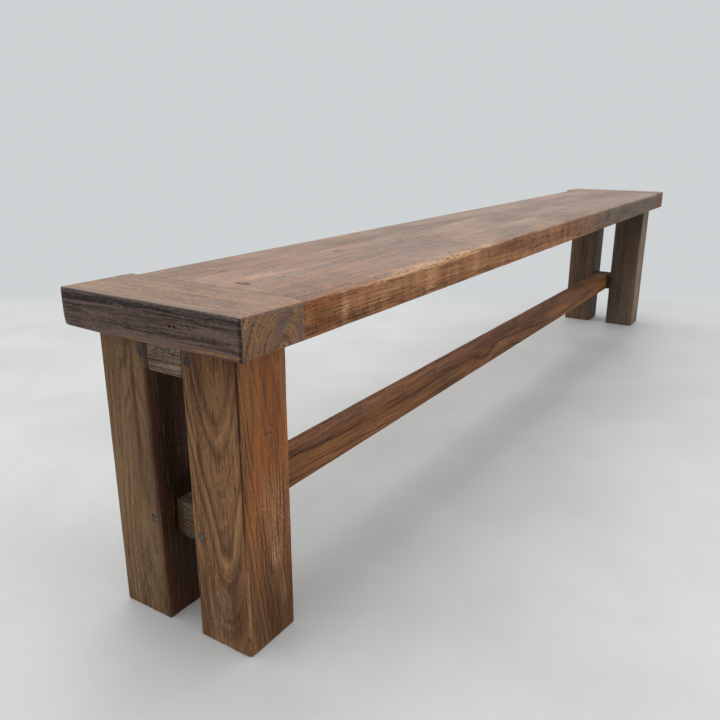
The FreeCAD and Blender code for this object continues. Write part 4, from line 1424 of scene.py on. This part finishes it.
@dataclass
class Seat:
    """The seat: three boards side by side between two cross-grain end caps.

    Attributes:
        tongue_thickness: Thickness of the tongues on the boards' ends.
        tongue_inset: From each side of the seat to the end of the grooves.
        tongue_relief: How far a tongue stays back from a seam.
        head: Size of the post heads' tenons.
        head_wall: Wood between the bottom of the groove and the mortises of the post heads.
        nail_places: The old nail holes in the near cap, across the bench.
        nail_rise: Their height above the underside of the cap.
        nail_size: Their diameter and depth.
    """

    tongue_thickness: float = 0.015
    tongue_inset: float = 0.025
    tongue_relief: float = 0.0005
    head: Triple = (0.036, 0.045, 0.025)
    head_wall: float = 0.004
    nail_places: Pair = (-0.0425, -0.050)
    nail_rise: float = 0.026
    nail_size: Pair = (0.0035, 0.014)

    def span(self) -> Pair:
        """Where the boards begin and end along the bench: the inner faces of the caps."""
        return corners("end_cap_near")[1][0], corners("end_cap_far")[0][0]

    def head_place(self, end: End) -> float:
        """Middle of the post heads' tenons along the bench."""
        tongue_end = corners("seat_board_middle")[1][0]
        return end.value * (tongue_end + END_GAP + self.head_wall + self.head[0] / 2)

    def board(self, position: str, looks: Mapping[str, Any]) -> Timber:
        """One board, with a tongue on each end.

        Args:
            position: front, middle or back.
            looks: Further fields of the timber.

        Returns:
            The timber, not yet built.
        """
        node = f"seat_board_{position}"
        low, high = corners(node)
        tongue = high[0] - self.span()[1]
        low[0], high[0] = self.span()
        front, back = low[1] + self.tongue_relief, high[1] - self.tongue_relief
        if position == "front":
            front = low[1] + self.tongue_inset
        if position == "back":
            back = corners("end_cap_near")[1][1] - self.tongue_inset
        centre = (0, (front + back) / 2, (low[2] + high[2]) / 2)
        steps = [Step(side, centre, (0, back - front, self.tongue_thickness), tongue) for side in ENDS]
        return Timber(f"{position}_board", node, "seat_wood", low, high, steps=steps, spacing=0.005,
                      **looks)

    def cap(self, end: End) -> Timber:
        """One end cap, with its groove, its mortises and the end of its middle pin.

        Args:
            end: Which end of the bench.

        Returns:
            The timber, not yet built.
        """
        node = f"end_cap_{end.label}"
        low, high = corners(node)
        middle = (low + high) / 2
        tongue = corners("seat_board_middle")[1][0] - self.span()[1]
        length = high[1] - low[1] - 2 * self.tongue_inset + JOINT_GAP
        steps = [Step(end.inner, (0, middle[1], middle[2]),
                      (0, length, self.tongue_thickness + JOINT_GAP), -tongue - END_GAP)]
        for side_name in ("front", "back"):
            across = centre_of(f"post_{end.label}_{side_name}")[1]
            steps.append(Step(Side.UNDER, (self.head_place(end), across, 0),
                              (self.head[0] + JOINT_GAP, self.head[1] + JOINT_GAP, 0),
                              -self.head[2] - END_GAP))
        pin = (centre_of(f"cap_pins_{end.label}")[0], centre_of("seat_board_middle")[1], 0)
        steps.append(Step.bore(Side.UNDER, pin, PIN_HOLE))
        if end is End.NEAR:
            steps += [Step.bore(Side.NEAR, (0, place, low[2] + self.nail_rise), self.nail_size)
                      for place in self.nail_places]
        return Timber(f"{end.label}_cap", node, "cap_wood", low, high, steps=steps, spacing=0.004,
                      **CapLooks(end, low, high).fields())

    def build(self) -> None:
        """Make the boards and the caps."""
        low, high = corners("seat_board_front")
        looks = BoardLooks(high[2], low[2], low[1], corners("seat_board_back")[1][1])
        self.board("front", looks.front_board()).build()
        self.board("middle", looks.middle_board()).build()
        self.board("back", looks.back_board()).build()
        for end in End:
            self.cap(end).build()


# ---------------------------------------------------------------- the understructure


def cut_wane(points: Array, sharp: Array) -> Array:
    """Take the waney edge off the near back post.

    The missing edge is nothing at the foot and widens up to the rail. At a share of the way
    from its outer arris to its inner limit, the inner side is drawn in by its depth times what
    is left of that share, and the rest of the post's width is squeezed in proportion.

    Args:
        points: Worn points of the post.
        sharp: Its sharp-edged points.

    Returns:
        The changed points.
    """
    low, high = corners("post_near_back")
    rail = corners("upper_rail_near")[0][2]
    heights = (0.0, 0.045, 0.222, rail, rail + 0.004, high[2])
    widths = (0.0, 0.0005, 0.030, 0.035, 0.0, 0.0)
    depth_to_width, least_width, unevenness, crumble_depth = 0.1, 0.004, 0.14, 0.0008
    rough = SolidNoise(71)
    limit = np.interp(sharp[:, 2], heights, widths) * (1 + unevenness * rough(sharp, (0, 0, 30.0), 2))
    share = np.clip(1 - (sharp[:, 0] - low[0]) / np.maximum(limit, 1e-6), 0, 1)
    broken = (share > 0) * (limit > least_width)
    crumble = crumble_depth * (rough(sharp, (220.0, 220.0, 90.0), 3) - 0.4) * broken
    inset = np.maximum(limit * depth_to_width * share - crumble * np.minimum(share * 4, 1), 0)
    middle = (low[1] + high[1]) / 2
    moved = points.copy()
    moved[:, 1] += inset * np.clip((middle - sharp[:, 1]) / (middle - low[1]), 0, 1)
    return moved


@dataclass(frozen=True)
class PostLooks:
    """Where the posts are worn and stained, and where painted shade darkens them.

    Attributes:
        low: Lowest corner of the post.
    """

    low: Array

    def fields(self, place: str) -> dict[str, Any]:
        """The fields of the timber of one post.

        Args:
            place: The words for its end and its side, such as near_front.

        Returns:
            The fields.
        """
        looks = {"near_front": self.near_front, "near_back": self.near_back,
                 "far_front": self.far_front, "far_back": self.far_back}
        return looks[place]()

    def near_front(self) -> dict[str, Any]:
        """The near front post: a dark outer arris, rust-red above, pale and scratched below.

        Returns:
            The fields of the timber.
        """
        out, front = self.low[:2]
        end, foot_end = Face(0, out, 0.004), Face(0, out, 0.006)
        side, foot_side = Face(1, front, 0.006), Face(1, front, 0.01)
        patches = (Patch((out, front, 0.29), (0.0022, 0.0022, 0.16), dark=0.9),
                   Patch((out, front, 0.07), (0.005, 0.003, 0.07), pale=0.5, red=0.3),
                   side((-0.988, 0.28), (0.12, 0.22), red=0.65),
                   side((-0.978, 0.30), (0.016, 0.12), red=0.3, dark=0.12),
                   side((-0.97, 0.19), (0.05, 0.07), pale=0.30),
                   side((-0.965, 0.31), (0.004, 0.09), dark=0.22),
                   side((-1.008, 0.33), (0.006, 0.06), dark=0.25),
                   side((-0.985, 0.36), (0.004, 0.05), dark=0.2),
                   foot_side((-0.96, 0.03), (0.08, 0.08), dark=0.45),
                   foot_side((-0.975, 0.12), (0.012, 0.02), pale=0.35),
                   foot_side((-0.960, 0.055), (0.009, 0.018), pale=0.4),
                   foot_side((-0.982, 0.075), (0.005, 0.02), pale=0.3),
                   foot_end((-0.095, 0.06), (0.010, 0.07), dark=0.4),
                   foot_end((-0.045, 0.07), (0.004, 0.06), dark=0.35),
                   end((-0.07, 0.05), (0.04, 0.06), grey=0.28),
                   end((-0.08, 0.40), (0.06, 0.07), dark=0.35))
        return {"finish": FRONT_POST, "seed": 51, "arris": 0.0025, "patches": patches,
                "arrises": {**meeting(Side.NEAR, (Side.FRONT,), 0.0026),
                            **meeting(Side.NEAR, (Side.BACK,), 0.002)},
                "wear": (Wear((out, front, 0.05), (0.01, 0.01, 0.1), 0.003),),
                "scoops": nicks((out, front, 0.02), (out, front, 0.39), (-SLOPE, -SLOPE, 0),
                                12, 0.022, 0.0018, 81)}

    def near_back(self) -> dict[str, Any]:
        """The near back post: its waney edge, and an inner face darkened near black with painted shade.

        Returns:
            The fields of the timber.
        """
        end = Face(0, self.low[0], 0.004)
        inner, soft_inner = Face(1, self.low[1], 0.006), Face(1, self.low[1], 0.008)
        patches = (end((0.058, 0.32), (0.004, 0.10), dark=0.45),
                   end((0.075, 0.20), (0.05, 0.09), dark=0.14, red=0.12),
                   end((0.075, 0.04), (0.04, 0.06), pale=0.2),
                   end((0.070, 0.37), (0.004, 0.04), dark=0.35),
                   end((0.096, 0.36), (0.005, 0.05), dark=0.25),
                   end((0.037, 0.28), (0.008, 0.16), grey=0.45, dark=0.2),
                   soft_inner((-1.010, 0.27), (0.022, 0.16), dark=0.45, grey=0.4),
                   soft_inner((-0.96, 0.19), (0.03, 0.012), dark=0.6),
                   # Painted shade: the inner face, in the gap between the posts, is darkened near black and
                   # reddened.
                   inner((-0.975, 0.05), (0.085, 0.20), dark=0.8, red=0.5),
                   inner((-0.975, 0.35), (0.08, 0.20), dark=0.45))
        return {"finish": BACK_POST, "seed": 52, "arris": 0.0022, "shape": cut_wane, "patches": patches}

    def far_front(self) -> dict[str, Any]:
        """The far front post: dark streaks on its inner face, and a lighter front.

        Returns:
            The fields of the timber.
        """
        inner = Face(0, self.low[0], 0.004)
        patches = (inner((-0.06, 0.2), (0.05, 0.3), dark=0.35, grey=0.3),
                   inner((-0.105, 0.36), (0.018, 0.07), dark=0.5),
                   inner((-0.033, 0.13), (0.008, 0.12), dark=0.5),
                   inner((-0.07, 0.30), (0.006, 0.14), dark=0.3),
                   inner((-0.085, 0.04), (0.03, 0.05), grey=0.3),
                   Face(1, self.low[1], 0.004)((0.988, 0.2), (0.06, 0.3), pale=0.62, red=0.8))
        return {"finish": FAR_FRONT_POST, "seed": 55, "arris": 0.0025, "patches": patches}

    def far_back(self) -> dict[str, Any]:
        """The far back post: a few dark streaks.

        Returns:
            The fields of the timber.
        """
        inner = Face(0, self.low[0], 0.004)
        patches = (inner((0.09, 0.2), (0.05, 0.3), dark=0.2), inner((0.05, 0.33), (0.01, 0.07), dark=0.3),
                   Face(1, self.low[1], 0.005)((0.960, 0.28), (0.02, 0.16), dark=0.5))
        return {"finish": FAR_BACK_POST, "seed": 56, "arris": 0.0025, "patches": patches}


RAIL_LOOKS: Mapping[str, Mapping[str, Any]] = {
    "near_upper": {"finish": UPPER_RAIL, "seed": 53, "relief": 0.0006, "arris": 0.0012},
    "near_lower": {"finish": LOWER_RAIL, "seed": 54, "relief": 0.0008, "arris": 0.0018,
                   "scoops": (Scoop((-1.011, 0.029, 0.1135), (0.012, 0.016, 0.016)),),
                   # Painted shade: a dark streak on the rail's face beside the back post, which shades it.
                   "patches": (Patch((-1.004, 0.023, 0.14), (0.006, 0.010, 0.05), dark=0.5),)},
    "far_upper": {"finish": FAR_UPPER_RAIL, "seed": 57, "relief": 0.0006, "arris": 0.0012},
    "far_lower": {"finish": FAR_LOWER_RAIL, "seed": 58, "relief": 0.0006, "arris": 0.0018},
}


def lathe(profile: Array, centre: Triple, inward: int, count: int = 40) -> tuple[Array, Array]:
    """Turn a profile about a line along x.

    Point (i, j) is the profile's point i at angle j: its radius times the angle's cosine and
    sine gives y and z, and its depth gives x. The two end rows are closed by quads that fan
    out from the point on the axis, so the shell has no hole.

    Args:
        profile: Rows of radius and depth, from one pole on the axis to the other.
        centre: Where depth nought lies on the axis.
        inward: 1 where depth runs towards +x, -1 where it runs towards -x.
        count: Number of angles; an even number.

    Returns:
        Points and four-sided faces.
    """
    angles = np.linspace(0, 2 * np.pi, count, endpoint=False)
    rings = profile[1:-1]
    points = np.empty((len(rings), count, 3))
    points[..., 0] = centre[0] + inward * rings[:, 1][:, None]
    points[..., 1] = centre[1] + rings[:, 0][:, None] * np.cos(angles)
    points[..., 2] = centre[2] + rings[:, 0][:, None] * np.sin(angles)
    poles = np.array([(centre[0] + inward * profile[row, 1], *centre[1:]) for row in (0, -1)])
    number = np.arange(len(rings) * count).reshape(len(rings), count)
    after = np.roll(number, -1, axis=1)
    faces = [np.stack([number[:-1], after[:-1], after[1:], number[1:]], axis=-1).reshape(-1, 4)]
    step = np.arange(0, count, 2)
    for row, pole, way in ((number[0], number.size, -1), (number[-1], number.size + 1, 1)):
        fan = [row[step], row[(step + 1) % count], row[(step + 2) % count]][::way]
        faces.append(np.stack([np.full(len(step), pole), *fan], axis=-1))
    return np.concatenate([points.reshape(-1, 3), poles]), np.concatenate(faces)[:, ::inward]


@dataclass
class Trestle:
    """One end of the understructure: two posts, two cross rails and their pegs.

    Attributes:
        end: Which end of the bench.
        rail_tenon: Height of the rails' tenons.
        tenons: Thickness of the tenons of the upper and the lower rail.
        peg_hole: Diameter and visible depth of the peg holes.
        counterbore: Diameter and depth of the screws' counterbores.
    """

    end: End
    rail_tenon: float = 0.033
    tenons: Mapping[str, float] = field(default_factory=lambda: {"upper": 0.024, "lower": 0.020})
    peg_hole: Pair = (0.0118, 0.004)
    counterbore: Pair = (0.013, 0.020)

    def rail_box(self, rail: str) -> tuple[Array, Array, float]:
        """The bar of a rail between the posts, and the length of its tenons.

        Args:
            rail: upper or lower.

        Returns:
            Its lowest and highest corner, and the length of a tenon.
        """
        low, high = corners(f"{rail}_rail_{self.end.label}")
        back = corners(f"post_{self.end.label}_back")[0][1]
        tenon = high[1] - back
        low[1], high[1] = corners(f"post_{self.end.label}_front")[1][1], back
        return low, high, tenon

    def rail(self, rail: str) -> Timber:
        """One rail, with its tenons and the bores in it.

        Args:
            rail: upper or lower.

        Returns:
            The timber, not yet built.
        """
        low, high, tenon = self.rail_box(rail)
        middle = (low + high) / 2
        steps = [Step(side, tuple(middle), (self.tenons[rail], 0, self.rail_tenon), tenon)
                 for side in (Side.FRONT, Side.BACK)]
        if rail == "upper":
            quarter = (high[1] - low[1]) / 4
            steps += [Step.bore(Side.UNDER, (middle[0], place, 0), self.counterbore)
                      for place in (middle[1] - quarter, middle[1] + quarter)]
        else:
            width, height = Stretcher.tenon
            length = corners("stretcher")[1][0] - corners("lower_rail_far")[0][0]
            steps.append(Step(self.end.inner, (0, centre_of("stretcher")[1], middle[2]),
                              (0, width + JOINT_GAP, height + JOINT_GAP), -length - END_GAP))
            pin = tuple(centre_of(f"stretcher_pin_{self.end.label}"))
            steps.append(Step.bore(Side.UNDER, pin, PIN_HOLE))
        return Timber(f"{self.end.label}_{rail}_rail", f"{rail}_rail_{self.end.label}", "rail_wood",
                      low, high, steps=steps, spacing=0.003, **RAIL_LOOKS[f"{self.end.label}_{rail}"])

    def pegs(self, rail: str) -> list[Pair]:
        """Where the pegs of a rail come through the posts.

        Args:
            rail: upper or lower.

        Returns:
            The place of the front and of the back peg, across the bench and up.
        """
        low, high = corners(f"{rail}_pegs_{self.end.label}")
        radius = (high[2] - low[2]) / 2
        return [(across, (low[2] + high[2]) / 2) for across in (low[1] + radius, high[1] - radius)]

    def post(self, side_name: str) -> Timber:
        """One post, with its head tenon, its mortises and the mouths of its peg holes.

        Args:
            side_name: front or back.

        Returns:
            The timber, not yet built.
        """
        node = f"post_{self.end.label}_{side_name}"
        low, high = corners(node)
        head = high[2] - corners(f"end_cap_{self.end.label}")[0][2]
        high[2] -= head
        seat = Seat()
        steps = [Step(Side.TOP, (seat.head_place(self.end), (low[1] + high[1]) / 2, 0),
                      (*seat.head[:2], 0), head)]
        inward = Side.BACK if side_name == "front" else Side.FRONT
        for rail, thickness in self.tenons.items():
            rail_low, rail_high, tenon = self.rail_box(rail)
            steps.append(Step(inward, tuple((rail_low + rail_high) / 2),
                              (thickness + JOINT_GAP, 0, self.rail_tenon + JOINT_GAP), -tenon - END_GAP))
            peg = self.pegs(rail)[side_name == "back"]
            steps.append(Step.bore(self.end.outer, (0, *peg), self.peg_hole))
        looks = PostLooks(low).fields(f"{self.end.label}_{side_name}")
        return Timber(f"{self.end.label}_{side_name}_post", node, "post_wood", low, high, steps=steps,
                      **looks)

    def make_pegs(self, rail: str) -> None:
        """Make a rail's two pegs as one piece.

        Each is a turned profile: a flat hidden end, a round shaft, and a worn visible end
        with a rubbed rim, set a little below the post's face, with a shallow dimple.

        Args:
            rail: upper or lower.
        """
        node = f"{rail}_pegs_{self.end.label}"
        low, high = corners(node)
        radius, length = (high[2] - low[2]) / 2, high[0] - low[0]
        face = low[0] if self.end is End.NEAR else high[0]
        profile = np.array([(0, length), (radius * 0.96, length), (radius, length - 0.0003),
                            (radius, 0.0009), (radius * 0.94, 0.00035), (radius * 0.84, 0.0002),
                            (radius * 0.5, 0.00025), (radius * 0.34, 0.0006), (0, 0.0008)])
        (first, first_faces), (second, second_faces) = (
            lathe(profile, (face, *peg), -self.end.value) for peg in self.pegs(rail))
        piece = make_piece(f"{self.end.label}_{rail}_pegs", np.concatenate([first, second]),
                           np.concatenate([first_faces, second_faces + len(first)]),
                           PEG_ENDS[rail].material())
        stand_in(piece, "peg_wood", node)

    def build(self) -> None:
        """Make the posts, the rails and the pegs."""
        for side_name in ("front", "back"):
            self.post(side_name).build()
        for rail in self.tenons:
            self.rail(rail).build()
        for rail in self.tenons:
            self.make_pegs(rail)


@dataclass
class Stretcher:
    """The long low bar from trestle to trestle.

    Attributes:
        tenon: Width and height of the tenon on each end.
    """

    tenon: Pair = (0.024, 0.034)

    def build(self) -> None:
        """Make the bar, nicked along both its front arrises."""
        low, high = corners("stretcher")
        length = high[0] - corners("lower_rail_far")[0][0]
        low[0], high[0] = corners("lower_rail_near")[1][0], corners("lower_rail_far")[0][0]
        middle = tuple((low + high) / 2)
        steps = [Step(side, middle, (0, *self.tenon), length) for side in ENDS]
        front, top = low[1], high[2]
        skin = Face(1, front, 0.01)
        scoops = (*nicks((-0.9, front, top), (0.93, front, top), (0, -SLOPE, SLOPE),
                         36, 0.02, 0.0012, 61),
                  *nicks((-0.9, front, low[2]), (0.93, front, low[2]), (0, -SLOPE, -SLOPE),
                         40, 0.022, 0.0018, 62))
        patches = (Patch((-0.90, front, middle[2]), (0.16, 0.02, 0.05), dark=0.3),
                   skin((-0.3, 0.13), (0.1, 0.012), dark=0.25),
                   skin((0.25, 0.125), (0.2, 0.01), dark=0.3),
                   skin((0.02, 0.150), (0.10, 0.012), pale=0.3),
                   skin((0.45, 0.145), (0.16, 0.014), pale=0.35, red=0.2),
                   skin((-0.62, 0.155), (0.09, 0.008), pale=0.2),
                   Patch((-0.5, middle[1], top), (0.5, 0.03, 0.002), pale=0.38, red=0.5))
        Timber("long_stretcher", "stretcher", "stretcher_wood", low, high, STRETCHER_WOOD,
               steps=steps, spacing=0.005, arris=0.0018, scoops=scoops, patches=patches,
               relief=0.0007, seed=60).build()


@dataclass(frozen=True)
class Fastenings:
    """The hidden dowels, pins and screws, which stay as the frame has them."""

    def build(self) -> None:
        """Give each of the frame's own nodes that stays its finish."""
        peg, zinc = HIDDEN_PEG.material(), SCREW_ZINC.material()
        for name, node in frame["nodes"].items():
            if node.hide_render:
                continue
            material = zinc if name.startswith("seat_screws") else peg
            node.data.materials.clear()
            node.data.materials.append(material)
            log.info("%s keeps its solid, in %s", name, material.name)


# ---------------------------------------------------------------- the studio


@dataclass(frozen=True)
class Studio:
    """A plain pale floor, soft light, and the camera.

    Attributes:
        eye: Where the camera is.
        pitch: How far it looks down, in radians.
        yaw: How far it is turned from +Y towards +X, in radians.
        roll: How far it is tipped, in radians.
        lens: Focal length in millimetres.
        sensor: Width of the sensor in millimetres.
        dim: How much darker the sheen is on the other side.
        sky: Strength of the light from all round.
        floor_size: Half the width of the floor.
    """

    eye: Triple = (-1.57561, -0.63198, 0.62428)
    pitch: float = 0.30295
    yaw: float = 0.99417
    roll: float = -0.00005
    lens: float = 35.52866
    sensor: float = 36.0
    dim: float = 0.6
    sky: float = 0.95
    floor_size: float = 40.0

    def build(self) -> None:
        """Make the floor, the light and the camera."""
        self.make_floor()
        self.make_sky()
        self.add_lamp("overhead_softbox", place=(0.0, 0.5, 3.0), aim=(0.0, 0.0, 0.2), size=(4.8, 4.6),
                      power=50.0)
        self.add_lamp("side_softbox", place=(-0.6, -3.4, 1.6), aim=(-0.4, 0.0, 0.3), size=(2.4, 1.6),
                      power=7.0)
        self.make_camera()

    def make_floor(self) -> None:
        """Lay the floor: a grid of squares at height nought."""
        lines = 9
        rule = np.linspace(-self.floor_size, self.floor_size, lines)
        across, along = np.meshgrid(rule, rule, indexing="ij")
        points = np.stack([across, along, np.zeros_like(across)], axis=-1).reshape(-1, 3)
        faces = np.stack(quads(np.arange(across.size).reshape(across.shape)), axis=-1).reshape(-1, 4)
        make_piece("studio_floor", points, faces, FloorFinish("pale_floor").material())

    def make_sky(self) -> None:
        """Light the scene evenly, and let the camera and gloss see the wall's colour."""
        world = bpy.data.worlds.new("studio_light")
        bpy.context.scene.world = world
        sky = Recipe(world)
        rays = sky.node("ShaderNodeLightPath")
        camera, glossy, through = (Signal(sky, rays.outputs[f"Is {kind} Ray"])
                                   for kind in ("Camera", "Glossy", "Transmission"))
        direction = sky.add("ShaderNodeTexCoord", output="Generated")
        facing = sky.along(direction, WALL_SIDE).ramp(-0.5, 0.6)
        plain = camera.math("MAXIMUM", camera, through)
        shown = plain.math("MAXIMUM", plain, (1 - self.dim * (1 - facing)) * glossy)
        light = sky.add("ShaderNodeBackground", None, {"Color": (0.97, 0.99, 1.0, 1.0), "Strength": self.sky})
        wall = sky.add("ShaderNodeBackground", None, {"Color": (*WALL_COLOUR, 1.0), "Strength": shown})
        sky.finish(sky.blend(plain.math("MAXIMUM", plain, glossy), light, wall), "World")

    @staticmethod
    def add_lamp(name: str, place: Triple, aim: Triple, size: Pair, power: float) -> None:
        """Hang a rectangular soft lamp.

        Args:
            name: Name of the lamp.
            place: Where it hangs.
            aim: What it points at.
            size: Its width and height.
            power: Its power in watts.
        """
        data = bpy.data.lights.new(name, "AREA")
        data.shape = "RECTANGLE"
        data.size, data.size_y = size
        data.energy = power
        lamp = bpy.data.objects.new(name, data)
        lamp.location = place
        lamp.rotation_mode = "QUATERNION"
        lamp.rotation_quaternion = (Vector(aim) - Vector(place)).to_track_quat("-Z", "Y")
        bpy.context.scene.collection.objects.link(lamp)

    def make_camera(self) -> None:
        """Set the camera up where the bench was seen from.

        Its axes are the forward direction, the level direction to its right, and their cross
        product, turned about the forward direction by the roll.
        """
        ahead = Vector((math.sin(self.yaw) * math.cos(self.pitch),
                        math.cos(self.yaw) * math.cos(self.pitch), -math.sin(self.pitch)))
        level = Vector((math.cos(self.yaw), -math.sin(self.yaw), 0))
        upright = level.cross(ahead)
        right = math.cos(self.roll) * level + math.sin(self.roll) * upright
        up = math.cos(self.roll) * upright - math.sin(self.roll) * level
        data = bpy.data.cameras.new("camera")
        data.lens, data.sensor_width = self.lens, self.sensor
        camera = bpy.data.objects.new("camera", data)
        turn = Matrix((right, up, -ahead)).transposed().to_4x4()
        camera.matrix_world = Matrix.Translation(self.eye) @ turn
        bpy.context.scene.collection.objects.link(camera)
        bpy.context.scene.camera = camera


def clear_start_file() -> None:
    """Remove what a new file holds besides the frame."""
    kept = {*frame["nodes"].values(), *frame["bodies"].values()}
    for item in list(bpy.data.objects):
        if item not in kept:
            bpy.data.objects.remove(item)


def main() -> None:
    """Build the bench and the studio."""
    logging.basicConfig(level=logging.INFO, format="%(name)s: %(message)s")
    clear_start_file()
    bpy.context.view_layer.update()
    bpy.context.scene.view_settings.view_transform = "Standard"
    Studio().build()
    Seat().build()
    for end in End:
        Trestle(end).build()
    Stretcher().build()
    Fastenings().build()


if __name__ == "__main__":
    main()
